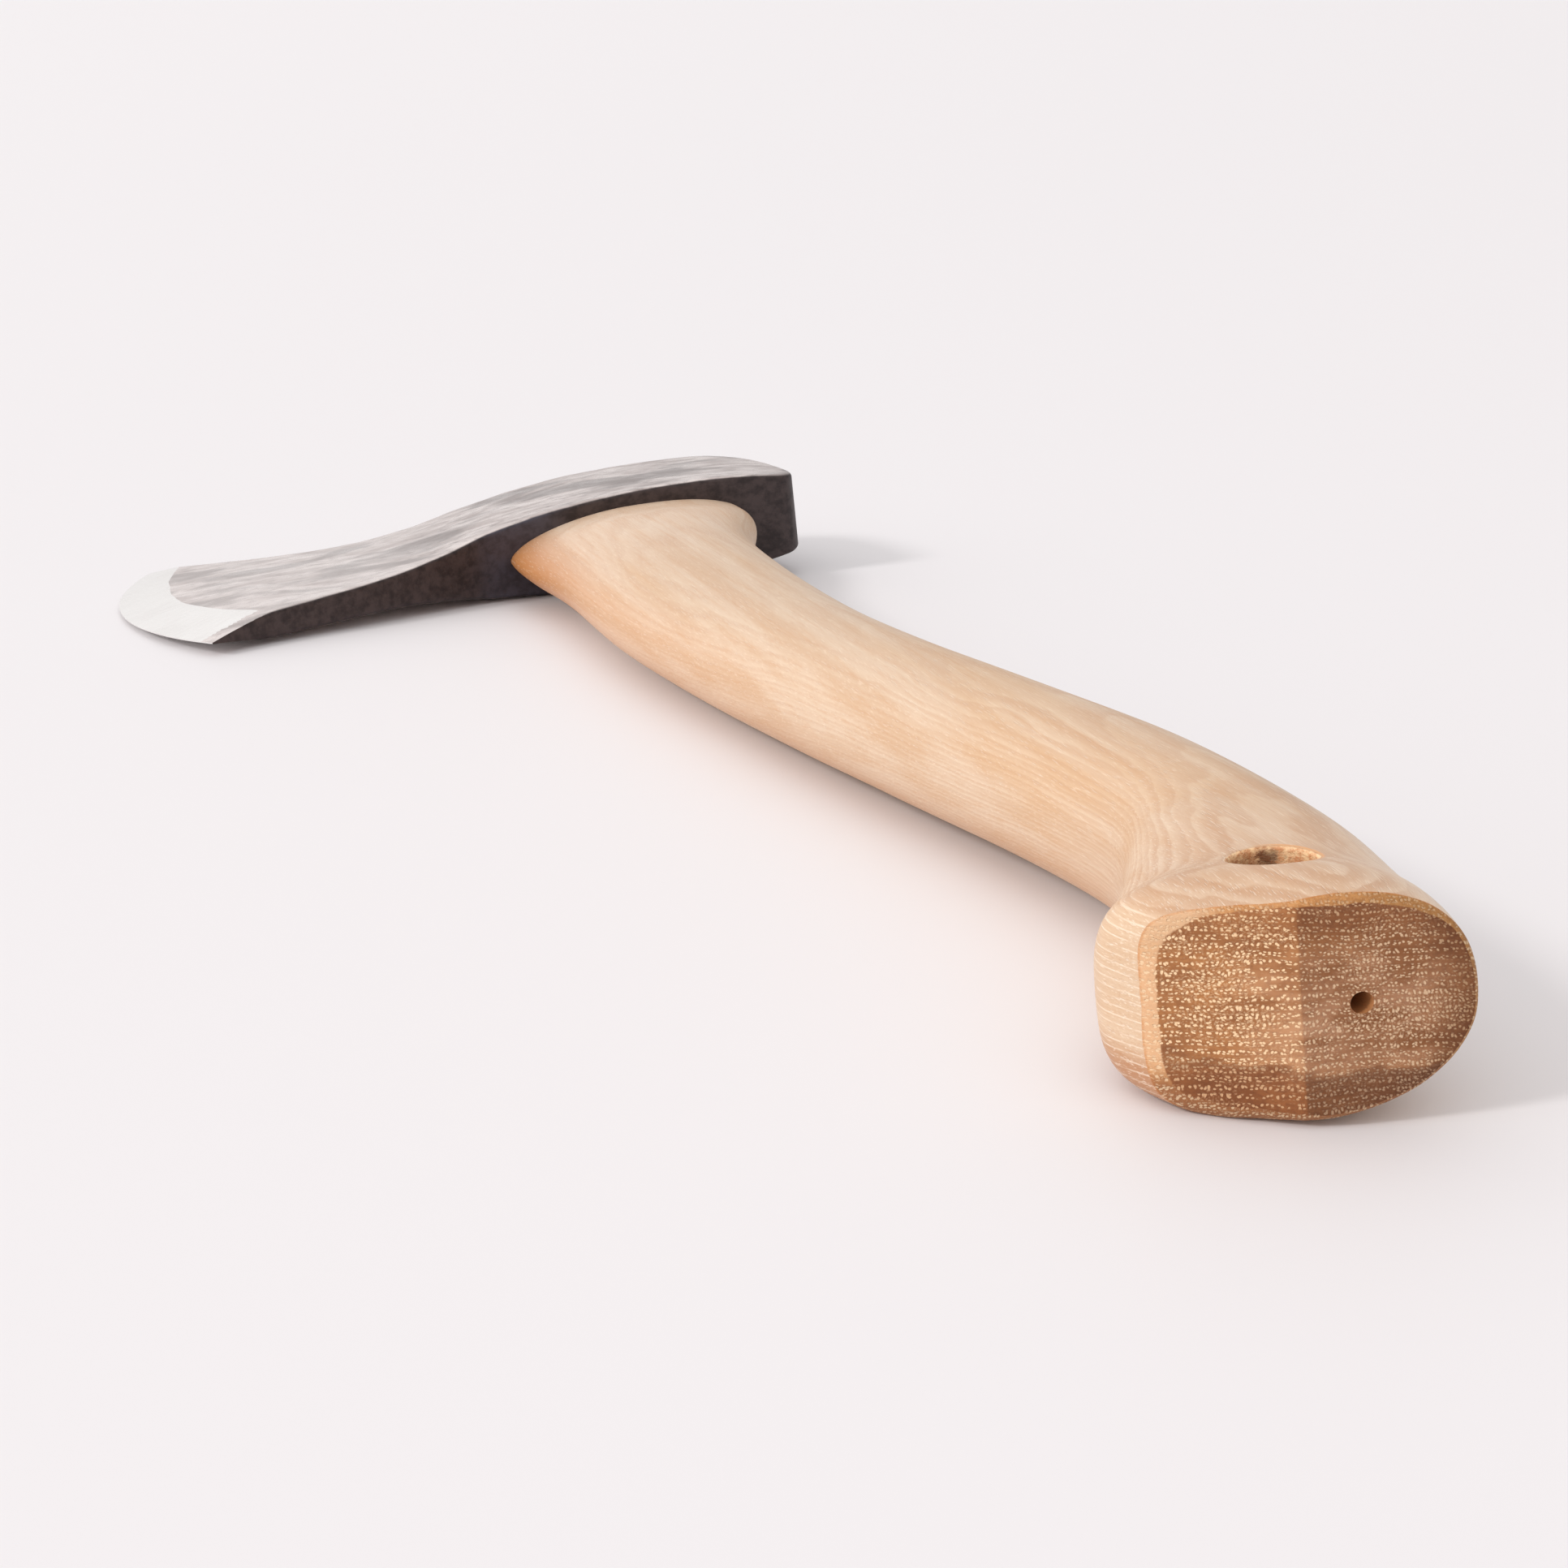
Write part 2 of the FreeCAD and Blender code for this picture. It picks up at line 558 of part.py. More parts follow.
# cutting edge and both bevels: one turn of the grinding profile round the
# axis through the centre of the edge arc.  Sketch on the XZ plane moved to the
# arc centre: first axis x, second axis z.
bevel = new_sketch(axe_head, "bevel_profile", "XZ_Plane",
                   Placement(Vector(0, 0, -dim("edge_cy")), Rotation()))
cx, rad, land = dim("edge_cx"), dim("edge_rad"), dim("edge_land")
run, slope = dim("bevel_run"), math.tan(math.radians(dim("bevel_deg")))
x_edge, x_back = cx - rad, cx - rad + run
z_back = land + run * slope
x_out = cx - rad - 60
fix_points(bevel, [(x_edge, -land), (x_edge, land), (x_back, z_back), (x_back, 30), (x_out, 30),
                   (x_out, -30), (x_back, -30), (x_back, -z_back)],
           [("dims.edge_cx - dims.edge_rad", ""),
            ("dims.edge_cx - dims.edge_rad", "dims.edge_land"),
            ("dims.edge_cx - dims.edge_rad + dims.bevel_run", "dims.edge_land + dims.bevel_run * tan(dims.bevel_deg * 1 deg)"),
            ("dims.edge_cx - dims.edge_rad + dims.bevel_run", ""), ("", ""), ("", ""),
            ("dims.edge_cx - dims.edge_rad + dims.bevel_run", ""),
            ("dims.edge_cx - dims.edge_rad + dims.bevel_run", "")])
bevel.addGeometry(Part.LineSegment(Vector(cx, -20, 0), Vector(cx, 20, 0)), True)
axis_line = bevel.GeometryCount - 1
c = bevel.addConstraint(Sketcher.Constraint("Vertical", axis_line))
c = bevel.addConstraint(Sketcher.Constraint("DistanceX", -1, 1, axis_line, 1, cx))
bevel.setExpression("Constraints[%d]" % c, "dims.edge_cx")
c = bevel.addConstraint(Sketcher.Constraint("DistanceY", -1, 1, axis_line, 1, -20))
c = bevel.addConstraint(Sketcher.Constraint("DistanceY", -1, 1, axis_line, 2, 20))
grind = axe_head.newObject("PartDesign::Groove", "edge_grind")
grind.Profile = bevel
grind.ReferenceAxis = (bevel, ["Axis0"])
grind.Angle = 170.0
grind.Midplane = True
solid = settle(axe_head, solid, "edge_grind")

# eye: the same straight-sided shape as the tongue
eye = tongue_sections(axe_head, "eye", low=-20.0, top=60.0)
loft(axe_head, "eye", "PartDesign::SubtractiveLoft", eye)
solid = settle(axe_head, solid, "eye")

# --------------------------------------------------------------- lay it down
tilt = Rotation(Vector(0, 1, 0), -dim("rest_tilt"))
roll = Rotation(Vector(1, 0, 0), dim("rest_roll"))
pieces = [axe_head, handle, wood_wedge, steel_wedge]
for body in pieces:
    body.Placement = Placement(Vector(dim("rest_dx"), dim("rest_dy"), dim("rest_dz")), roll.multiply(tilt))
    for axis in ("x", "y", "z"):
        body.setExpression("Placement.Base." + axis, "dims.rest_d" + axis)
doc.recompute()

# --------------------------------------------------------------- check, write
for obj in doc.Objects:
    if "Invalid" in obj.State or "Error" in obj.State:
        raise RuntimeError("failed: %s %s" % (obj.Name, obj.State))
for body in pieces:
    shape = body.Shape
    if shape.isNull() or not shape.isValid() or len(shape.Solids) != 1:
        raise RuntimeError("bad shape: " + body.Label)
os.makedirs("parts", exist_ok=True)
for body in pieces:
    body.Shape.exportStep("parts/%s.step" % body.Label)
    print("%-12s %9.1f mm3" % (body.Label, body.Shape.Volume))
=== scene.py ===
import math
import bmesh
import bpy
import numpy as np
from mathutils import Matrix, Vector
from mathutils.bvhtree import BVHTree
from mathutils.geometry import delaunay_2d_cdt
from mathutils.kdtree import KDTree


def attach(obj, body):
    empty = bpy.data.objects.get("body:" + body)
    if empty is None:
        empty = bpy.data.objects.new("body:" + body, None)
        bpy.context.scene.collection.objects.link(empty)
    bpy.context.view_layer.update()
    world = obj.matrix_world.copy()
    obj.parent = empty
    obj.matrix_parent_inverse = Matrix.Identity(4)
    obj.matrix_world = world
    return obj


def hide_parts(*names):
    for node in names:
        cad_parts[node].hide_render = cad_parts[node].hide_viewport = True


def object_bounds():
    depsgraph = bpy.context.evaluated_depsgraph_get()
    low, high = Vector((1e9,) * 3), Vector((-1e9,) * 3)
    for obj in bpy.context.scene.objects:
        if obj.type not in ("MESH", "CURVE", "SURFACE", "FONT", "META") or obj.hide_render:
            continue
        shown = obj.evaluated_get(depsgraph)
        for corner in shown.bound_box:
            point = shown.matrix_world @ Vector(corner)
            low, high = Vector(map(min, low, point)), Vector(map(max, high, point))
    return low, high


# Hatchet: forged head, curved ash handle, wooden wedge and steel cross wedge.
# Shapes are drawn in the tool's own frame, in millimetres (x: edge to poll,
# y: knob to head, z: across the cheeks), and laid down by one resting move.

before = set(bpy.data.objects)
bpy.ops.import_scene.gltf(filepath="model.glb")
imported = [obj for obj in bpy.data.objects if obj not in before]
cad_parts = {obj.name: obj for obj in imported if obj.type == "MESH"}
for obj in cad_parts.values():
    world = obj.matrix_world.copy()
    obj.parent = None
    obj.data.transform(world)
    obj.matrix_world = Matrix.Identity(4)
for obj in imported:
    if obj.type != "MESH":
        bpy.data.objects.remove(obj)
cad_low, cad_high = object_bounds()

# ------------------------------------------------------------ resting move
TILT, ROLL = math.radians(5.0803), math.radians(-0.5916)
SHIFT = np.array((35.517, 147.152, 10.966))
RY = np.array(((math.cos(TILT), 0, -math.sin(TILT)), (0, 1, 0), (math.sin(TILT), 0, math.cos(TILT))))
RX = np.array(((1, 0, 0), (0, math.cos(ROLL), -math.sin(ROLL)), (0, math.sin(ROLL), math.cos(ROLL))))
REST = RX @ RY


def laid(points):
    """Tool frame in mm to the row frame in metres."""
    return (np.asarray(points, float) @ REST.T + SHIFT) / 1000.0


# ------------------------------------------------------------ curve helpers
def natural_spline(t, y, tq):
    t, y, tq = np.asarray(t, float), np.asarray(y, float), np.asarray(tq, float)
    n = len(t)
    h = np.diff(t)
    flat = y.reshape(n, -1)
    a = np.zeros((n, n))
    rhs = np.zeros_like(flat)
    a[0, 0] = a[-1, -1] = 1.0
    for i in range(1, n - 1):
        a[i, i - 1], a[i, i], a[i, i + 1] = h[i - 1], 2 * (h[i - 1] + h[i]), h[i]
        rhs[i] = 6 * ((flat[i + 1] - flat[i]) / h[i] - (flat[i] - flat[i - 1]) / h[i - 1])
    m = np.linalg.solve(a, rhs)
    k = np.clip(np.searchsorted(t, tq, "right") - 1, 0, n - 2)
    hk = h[k][:, None]
    w0 = ((t[k + 1] - tq) / h[k])[:, None]
    w1 = 1 - w0
    out = w0 * flat[k] + w1 * flat[k + 1] + ((w0 ** 3 - w0) * m[k] + (w1 ** 3 - w1) * m[k + 1]) * hk ** 2 / 6
    return out.reshape((len(tq),) + y.shape[1:])


def closed_basis(n, u):
    """Matrix from n even values round a closed curve to its values at u (0..n)."""
    eye = np.eye(n)
    a = (4 * eye + np.roll(eye, 1, 0) + np.roll(eye, -1, 0)) / 6
    d = np.roll(eye, 1, 0) + np.roll(eye, -1, 0) - 2 * eye
    m = np.linalg.solve(a, d)
    i = np.floor(u).astype(int)
    f = (u - i)[:, None]
    i, j = i % n, (i + 1) % n
    return (1 - f) * eye[i] + f * eye[j] - f * (1 - f) / 6 * ((2 - f) * m[i] + (1 + f) * m[j])


def smooth_noise(seed, pts, waves, low, high, dims=2):
    """Seeded smooth noise, about -1..1, with wavelengths low..high in mm."""
    rng = np.random.RandomState(seed)
    out = np.zeros(len(pts))
    for _ in range(waves):
        v = rng.normal(size=dims)
        v /= np.linalg.norm(v)
        lam = low * (high / low) ** rng.rand()
        out += np.sin(pts[:, :dims] @ v * 2 * np.pi / lam + rng.rand() * 2 * np.pi)
    return out / math.sqrt(waves / 2.0) / 1.6


def mesh_object(name, verts, faces, where=laid):
    me = bpy.data.meshes.new(name)
    me.from_pydata([tuple(v) for v in where(verts)], [], faces)
    me.validate()
    ob = bpy.data.objects.new(name, me)
    bpy.context.scene.collection.objects.link(ob)
    return ob


def outward(ob):
    bm = bmesh.new()
    bm.from_mesh(ob.data)
    bmesh.ops.recalc_face_normals(bm, faces=bm.faces)
    bm.to_mesh(ob.data)
    bm.free()


def boolean_cut(ob, cutters):
    for cutter in cutters:
        mod = ob.modifiers.new("cut", "BOOLEAN")
        mod.operation = "DIFFERENCE"
        mod.solver = "EXACT"
        mod.object = cutter
        dg = bpy.context.evaluated_depsgraph_get()
        new = bpy.data.meshes.new_from_object(ob.evaluated_get(dg))
        ob.modifiers.remove(mod)
        old = ob.data
        ob.data = new
        bpy.data.meshes.remove(old)
        bpy.data.objects.remove(cutter)
    ob.data.name = ob.name


def tidy(ob, merge=0.00002):
    bm = bmesh.new()
    bm.from_mesh(ob.data)
    bmesh.ops.remove_doubles(bm, verts=bm.verts, dist=merge)
    bmesh.ops.dissolve_degenerate(bm, edges=bm.edges, dist=merge / 4)
    loose = [v for v in bm.verts if not v.link_faces]
    bmesh.ops.delete(bm, geom=loose, context="VERTS")
    bm.to_mesh(ob.data)
    bm.free()


def clean_solid(ob, merge=0.00001):
    """Merge the cut's tiny edges, split its many-sided faces, and drop faces folded onto each other."""
    bm = bmesh.new()
    bm.from_mesh(ob.data)
    bmesh.ops.remove_doubles(bm, verts=bm.verts, dist=merge)
    bmesh.ops.dissolve_degenerate(bm, edges=bm.edges, dist=merge)
    bmesh.ops.triangulate(bm, faces=[f for f in bm.faces if len(f.verts) > 4], ngon_method="BEAUTY")
    seen = {}
    for f in bm.faces:
        seen.setdefault(tuple(sorted(v.index for v in f.verts)), []).append(f)
    folded = [f for same in seen.values() if len(same) > 1 for f in same]
    if folded:
        bmesh.ops.delete(bm, geom=folded, context="FACES")
        bmesh.ops.delete(bm, geom=[e for e in bm.edges if not e.link_faces], context="EDGES")
    print("clean", ob.name, "faces", len(bm.faces), "folded", len(folded),
          "open", sum(1 for e in bm.edges if len(e.link_faces) != 2))
    bm.to_mesh(ob.data)
    bm.free()


# ------------------------------------------------------------ handle data
TONGUE_LOW = (-28.19, -4.4, 26.51, -4.4, 14.8, 1.75, 2.5)
TONGUE_TOP = (-25.6, 45.5, 25.4, 45.5, 15.8, 1.75, 2.5)
HANDLE = [
    (-28.30, -9.23, 25.85, -9.23, 15.75, 1.77, 2.50),
    (-27.99, -15.07, 24.28, -15.07, 17.21, 1.80, 2.45),
    (-27.32, -21.87, 22.04, -21.87, 18.29, 1.82, 2.42),
    (-26.22, -29.67, 19.84, -29.67, 18.78, 1.85, 2.40),
    (-24.99, -45.32, 17.18, -45.28, 19.51, 1.89, 2.36),
    (-24.71, -61.94, 16.07, -61.89, 20.14, 1.93, 2.31),
    (-24.04, -82.38, 15.45, -82.53, 20.74, 1.98, 2.28),
    (-22.15, -103.80, 15.02, -104.11, 21.23, 2.02, 2.26),
    (-19.22, -126.54, 15.25, -126.24, 21.73, 2.06, 2.24),
    (-15.83, -148.74, 16.39, -146.84, 22.20, 2.08, 2.22),
    (-12.30, -170.04, 18.34, -166.24, 22.61, 2.10, 2.20),
    (-8.71, -191.14, 21.03, -185.71, 22.92, 2.12, 2.20),
    (-5.62, -208.86, 23.61, -202.73, 23.16, 2.14, 2.20),
    (-2.68, -225.11, 25.98, -219.31, 23.47, 2.15, 2.20),
    (-0.03, -239.86, 27.84, -235.54, 23.88, 2.17, 2.24),
    (1.99, -253.11, 28.88, -251.46, 24.40, 2.19, 2.29),
    (3.01, -263.31, 29.03, -264.72, 25.03, 2.24, 2.33),
    (2.93, -272.56, 28.77, -277.00, 25.83, 2.32, 2.37),
    (1.46, -281.15, 28.47, -287.91, 26.49, 2.42, 2.41),
    (-1.64, -289.90, 28.13, -298.45, 27.09, 2.56, 2.46),
    (-5.14, -296.61, 27.55, -306.85, 27.44, 2.69, 2.50, 0.0, 2.35),
    (-9.81, -303.59, 26.37, -316.50, 27.64, 2.85, 2.55, -0.15, 2.20),
    (-13.52, -309.64, 25.14, -325.27, 27.77, 3.50, 2.59, 0.15, 2.30),
    (-15.70, -315.98, 24.01, -334.16, 27.92, 4.40, 2.60, 1.15, 3.60, 0.05),
    (-14.40, -322.53, 22.10, -342.95, 27.95, 4.60, 2.50, 0.60, 6.00, 0.10),
    (-12.20, -329.92, 18.00, -352.37, 26.90, 4.60, 2.40, -0.20, 6.50, 0.12),
]
END_X, END_Y, TOE_CUT, HEEL_CUT = 2.0, -336.0, math.radians(33.0), math.radians(11.0)
CORD_X, CORD_Y, CORD_R = 6.8, -319.2, 5.5
PIN_X, PIN_Z, PIN_R, PIN_FLOOR = 9.1, 0.6, 1.4, -329.5
PER_QUARTER = 8


def egg_points(st):
    fx, fy, bx, by, thick, n_front, n_back = st[:7]
    lift, n_top = st[7:9] if len(st) > 7 else (0.0, n_front)
    taper = st[9] if len(st) > 9 else 0.0
    n_under = n_back - 0.5 * min(1.0, max(0.0, (thick - 25.5) / 1.6))
    f, b = np.array((fx, fy)), np.array((bx, by))
    mid, half = (f + b) / 2, np.linalg.norm(b - f) / 2
    d = (b - f) / (2 * half)
    pts = []
    for quarter in range(4):
        n = (n_back, n_top, n_front, n_under)[quarter]
        a = np.pi / 2 * (quarter + np.arange(181) / 180.0)
        ca, sa = np.cos(a), np.sin(a)
        ca[np.abs(ca) < 1e-12] = 0
        sa[np.abs(sa) < 1e-12] = 0
        u = np.sign(ca) * np.abs(ca) ** (2 / n) * half
        w = np.sign(sa) * np.abs(sa) ** (2 / n) * (thick / 2 + (lift if quarter < 2 else 0.0))
        if quarter == 1:
            w = w * (1 - taper * np.abs(u) / half)
        run = np.concatenate(([0], np.cumsum(np.hypot(np.diff(u), np.diff(w)))))
        goal = run[-1] * np.arange(PER_QUARTER) / PER_QUARTER
        pts += list(zip(np.interp(goal, run, u), np.interp(goal, run, w)))
    pts = np.array(pts)
    return np.column_stack((mid[0] + d[0] * pts[:, 0], mid[1] + d[1] * pts[:, 0], pts[:, 1]))


LOW_RING = egg_points(TONGUE_LOW)
TOP_RING = egg_points(TONGUE_TOP)
RINGS = np.array([LOW_RING] + [egg_points(st) for st in HANDLE])
MID = np.array([((a[0] + a[2]) / 2, (a[1] + a[3]) / 2) for a in [TONGUE_LOW] + HANDLE])
KNOTS = np.concatenate(([0], np.cumsum(np.linalg.norm(np.diff(MID, axis=0), axis=1))))
NRING = 4 * PER_QUARTER


def grip_surface(tq, u):
    """Points of the grip at stations tq (mm along the middle line) for ring places u."""
    rings = natural_spline(KNOTS, RINGS, tq)
    basis = closed_basis(NRING, u)
    return np.einsum("un,tnk->tuk", basis, rings)


def end_distance(p):
    toe = (p[..., 0] - END_X) * -math.sin(TOE_CUT) + (p[..., 1] - END_Y) * -math.cos(TOE_CUT)
    heel = (p[..., 0] - END_X) * -math.sin(HEEL_CUT) + (p[..., 1] - END_Y) * -math.cos(HEEL_CUT)
    return toe, heel


# worked-off edge of the end cuts round the knob (0 back, 8 top, 16 front, 24 below):
# its width on the sides and its width on the end cuts
OUT_AT = [0, 3, 6, 9, 12, 14.5, 17.5, 20, 22, 24, 28, 32]
OUT_BREAK = [0.5, 0.5, 0.7, 0.75, 0.9, 1.5, 1.5, 2.0, 1.8, 0.9, 0.5, 0.5]
IN_AT = [0, 2.5, 5, 8, 10, 12, 13.5, 15, 17.5, 20, 22, 24, 28, 32]
IN_BREAK = [0.5, 0.7, 1.3, 1.1, 1.0, 2.2, 1.9, 1.35, 1.4, 2.2, 1.9, 0.9, 0.5, 0.5]


def build_handle():
    columns = 192
    u = np.arange(columns) * NRING / columns
    t_start = KNOTS[22]

    def crossing(us):
        tt = np.linspace(t_start, KNOTS[-1], 401)
        grid = grip_surface(tt, us)
        toe, heel = end_distance(grid)
        out = np.maximum(toe, heel)
        t_hit = np.zeros(len(us))
        for j in range(len(us)):
            k = int(np.argmax(out[:, j] > 0))
            a, b = out[k - 1, j], out[k, j]
            t_hit[j] = tt[k - 1] + (tt[k] - tt[k - 1]) * (-a) / (b - a)
        return t_hit

    def at(ts, us):
        rings = natural_spline(KNOTS, RINGS, ts)
        basis = closed_basis(NRING, us)
        return np.einsum("un,unk->uk", basis, rings)

    # put one column exactly on each end of the ridge between the two end cuts
    fine = np.arange(3200) * NRING / 3200.0
    hit = at(crossing(fine), fine)
    ridge_cols = []
    for side in (1, -1):
        ok = np.where((hit[:, 2] * side > 0) & ((hit[:, 0] - END_X) * (np.roll(hit[:, 0], -1) - END_X) <= 0))[0]
        k = int(ok[0])
        k2 = (k + 1) % len(fine)
        f = (END_X - hit[k, 0]) / (hit[k2, 0] - hit[k, 0])
        root = fine[k] + f * (NRING / 3200.0)
        c = int(round(root * columns / NRING)) % columns
        u[c] = root
        ridge_cols.append(c)
    t_hit = crossing(u)
    corner = at(t_hit, u)

    # rows: tongue, grip, knob up to the end cuts
    basis = closed_basis(NRING, u)
    rows = []
    for f in np.linspace(0, 1, 26)[:-1]:
        y = TONGUE_TOP[1] + f * (TONGUE_LOW[1] - TONGUE_TOP[1])
        ring = TOP_RING + (LOW_RING - TOP_RING) * f
        rows.append(basis @ ring)
    n_grip = 300
    tg = np.linspace(0, t_start, n_grip + 1)
    rows += list(grip_surface(tg, u))
    uneven = 1 + 0.05 * np.sin(u * np.pi * 0.625) + 0.04 * np.sin(u * np.pi * 1.1875 + 1.0)
    brk = np.interp(u, OUT_AT, OUT_BREAK) * uneven
    brk_in = np.interp(u, IN_AT, IN_BREAK) * uneven
    edge_mark = [-32.0] * (25 + n_grip + 1)
    for f in np.linspace(0, 1, 33)[1:]:
        tt = t_start + (t_hit - brk - t_start) * f
        rows.append(at(tt, u))
        edge_mark.append((f - 1.0) * 32.0)
    p0 = rows[-1]
    # inward direction inside the cut plane
    toe, heel = end_distance(corner)
    ntoe = np.array((-math.sin(TOE_CUT), -math.cos(TOE_CUT), 0))
    nheel = np.array((-math.sin(HEEL_CUT), -math.cos(HEEL_CUT), 0))
    on_toe = np.abs(toe) < np.abs(heel)
    tang = np.roll(corner, -1, 0) - np.roll(corner, 1, 0)
    inward = np.zeros_like(corner)
    centre = np.array((END_X, END_Y, 0.0))
    for j in range(columns):
        n = ntoe if on_toe[j] else nheel
        v = np.cross(n, tang[j])
        v /= np.linalg.norm(v)
        if v @ (centre - corner[j]) < 0:
            v = -v
        inward[j] = v
    for c in ridge_cols:
        corner[c, 0], corner[c, 1] = END_X, END_Y
        inward[c] = (0, 0, -np.sign(corner[c, 2]))
    p2 = corner + inward * brk_in[:, None]
    pull = corner * 0.52 + (p0 + p2) * 0.24
    for f in (0.125, 0.25, 0.375, 0.5, 0.625, 0.75, 0.875, 1.0):
        rows.append((1 - f) ** 2 * p0 + 2 * f * (1 - f) * pull + f * f * p2)
        edge_mark.append(f)
    rows.append(corner + inward * (brk_in + 0.4)[:, None])
    edge_mark.append(1.4)
    grid = np.array(rows)

    # top of the tongue: a small broken edge, then the sawn end
    def shrink(ring, by):
        tangv = np.roll(ring, -1, 0) - np.roll(ring, 1, 0)
        nrm = np.column_stack((tangv[:, 2], np.zeros(len(ring)), -tangv[:, 0]))
        nrm /= np.linalg.norm(nrm, axis=1)[:, None]
        flip = np.sum(nrm * -ring, axis=1) < 0
        nrm[flip] *= -1
        return ring + nrm * by

    head_rows = []
    top = grid[0]
    for inset, drop in ((0.75, 0.0), (0.45, 0.0), (0.26, 0.04), (0.12, 0.13), (0.04, 0.26)):
        ring = shrink(top, inset)
        ring[:, 1] = TONGUE_TOP[1] - drop
        head_rows.append(ring)
    grid[0][:, 1] -= 0.45
    grid = np.concatenate((np.array(head_rows), grid))

    # hand-finished surface: very slight waves, inward only
    n_rows = len(grid)
    edge_mark = [-32.0] * len(head_rows) + edge_mark
    assert len(edge_mark) == n_rows
    flat = grid.reshape(-1, 3)
    wave = smooth_noise(11, flat * (1.0, 0.35, 1.0), 26, 9.0, 30.0, dims=3)
    along = np.repeat(np.arange(n_rows), columns)
    fade = np.clip((along - 34) / 30.0, 0, 1) * np.clip((n_rows - 14 - along) / 25.0, 0, 1)
    mid = np.repeat(grid.mean(axis=1), columns, axis=0)
    inwards = mid - flat
    inwards /= np.linalg.norm(inwards, axis=1)[:, None] + 1e-9
    flat = flat + inwards * ((0.045 + 0.045 * wave) * fade)[:, None]

    faces = []
    for i in range(n_rows - 1):
        a, b = i * columns, (i + 1) * columns
        for j in range(columns):
            k = (j + 1) % columns
            faces.append((a + j, a + k, b + k, b + j))
    faces.append(tuple(range(columns)))
    base = (n_rows - 1) * columns
    c0, c1 = sorted(ridge_cols)
    faces.append(tuple(base + j for j in range(c0, c1 + 1)))
    faces.append(tuple(base + j % columns for j in range(c1, c0 + columns + 1)))
    ob = mesh_object("handle_wood", flat, faces)
    outward(ob)
    tail = 60 * columns
    return ob, laid(flat[-tail:]), np.repeat(edge_mark, columns)[-tail:]


def prism(name, corners, axis, low, high):
    """Prism of a polygon: axis "x" takes (y, z) corners, axis "z" takes (x, y)."""
    n = len(corners)
    verts = []
    for level in (low, high):
        for a, b in corners:
            verts.append((level, a, b) if axis == "x" else (a, b, level))
    faces = [tuple(range(n)), tuple(range(n, 2 * n))]
    faces += [(i, (i + 1) % n, n + (i + 1) % n, n + i) for i in range(n)]
    ob = mesh_object(name, verts, faces)
    outward(ob)
    return ob


def lathe(name, rows, closed_ends=True):
    """Closed tube from rows of points."""
    n = len(rows[0])
    verts = np.concatenate(rows)
    faces = []
    for i in range(len(rows) - 1):
        for j in range(n):
            k = (j + 1) % n
            faces.append((i * n + j, i * n + k, (i + 1) * n + k, (i + 1) * n + j))
    faces += [tuple(range(n)), tuple((len(rows) - 1) * n + j for j in range(n))]
    ob = mesh_object(name, verts, faces)
    outward(ob)
    return ob


handle, edge_points, edge_marks = build_handle()


def rim_heights(ob, radius, steps):
    tree = BVHTree.FromPolygons([v.co for v in ob.data.vertices], [tuple(p.vertices) for p in ob.data.polygons])
    up = Vector(REST[:, 2])
    tops, bottoms = [], []
    for i in range(steps):
        a = 2 * math.pi * i / steps
        x, y = CORD_X + radius * math.cos(a), CORD_Y + radius * math.sin(a)
        for side, out in ((1, tops), (-1, bottoms)):
            start = laid([(x, y, 40.0 * side)])[0]
            loc, _, _, dist = tree.ray_cast(Vector(start), -up * side)
            out.append(side * (40.0 - dist * 1000.0))
    return np.array(tops), np.array(bottoms)


STEPS = 96
brk = 0.7
tops, bottoms = rim_heights(handle, CORD_R + brk, STEPS)
ang = np.arange(STEPS) * 2 * np.pi / STEPS
rows = []
arc = [0.0, 0.25, 0.5, 0.75, 1.0]


def cord_ring(radius, heights):
    return np.column_stack((CORD_X + radius * np.cos(ang), CORD_Y + radius * np.sin(ang), heights))


rows.append(cord_ring(CORD_R + brk + 1.2, bottoms - 3.0))
for f in arc[::-1]:
    a = f * math.pi / 2
    rows.append(cord_ring(CORD_R + brk * (1 - math.cos(a)), bottoms + brk * (1 - math.sin(a))))
for f in arc:
    a = f * math.pi / 2
    rows.append(cord_ring(CORD_R + brk * (1 - math.cos(a)), tops - brk * (1 - math.sin(a))))
rows.append(cord_ring(CORD_R + brk + 1.2, tops + 3.0))
cord_cut = lathe("cord_cut", rows)

pin_rows = []
for y, r in ((-345.0, PIN_R), (PIN_FLOOR, PIN_R), (PIN_FLOOR + 0.9, 0.15)):
    a = np.arange(40) * 2 * np.pi / 40
    pin_rows.append(np.column_stack((PIN_X + r * np.cos(a), np.full(40, y), PIN_Z + r * np.sin(a))))
pin_cut = lathe("pin_cut", pin_rows)

kerf_slope = (2.1 - 0.7) / (45.5 - 8.0)
kerf_cut = prism("kerf_cut", [(8.0, -0.7), (50.5, -2.1 - 5 * kerf_slope), (50.5, 2.1 + 5 * kerf_slope), (8.0, 0.7)],
                 "x", -60.0, 60.0)
cross_slope = (1.35 - 0.35) / 17.0
cross_cut = prism("cross_cut", [(5 - 0.35, 28.3), (5 - 1.35 - 4 * cross_slope, 49.3),
                                (5 + 1.35 + 4 * cross_slope, 49.3), (5 + 0.35, 28.3)], "z", -5.7, 5.7)
boolean_cut(handle, [cord_cut, pin_cut, kerf_cut, cross_cut])
tidy(handle)


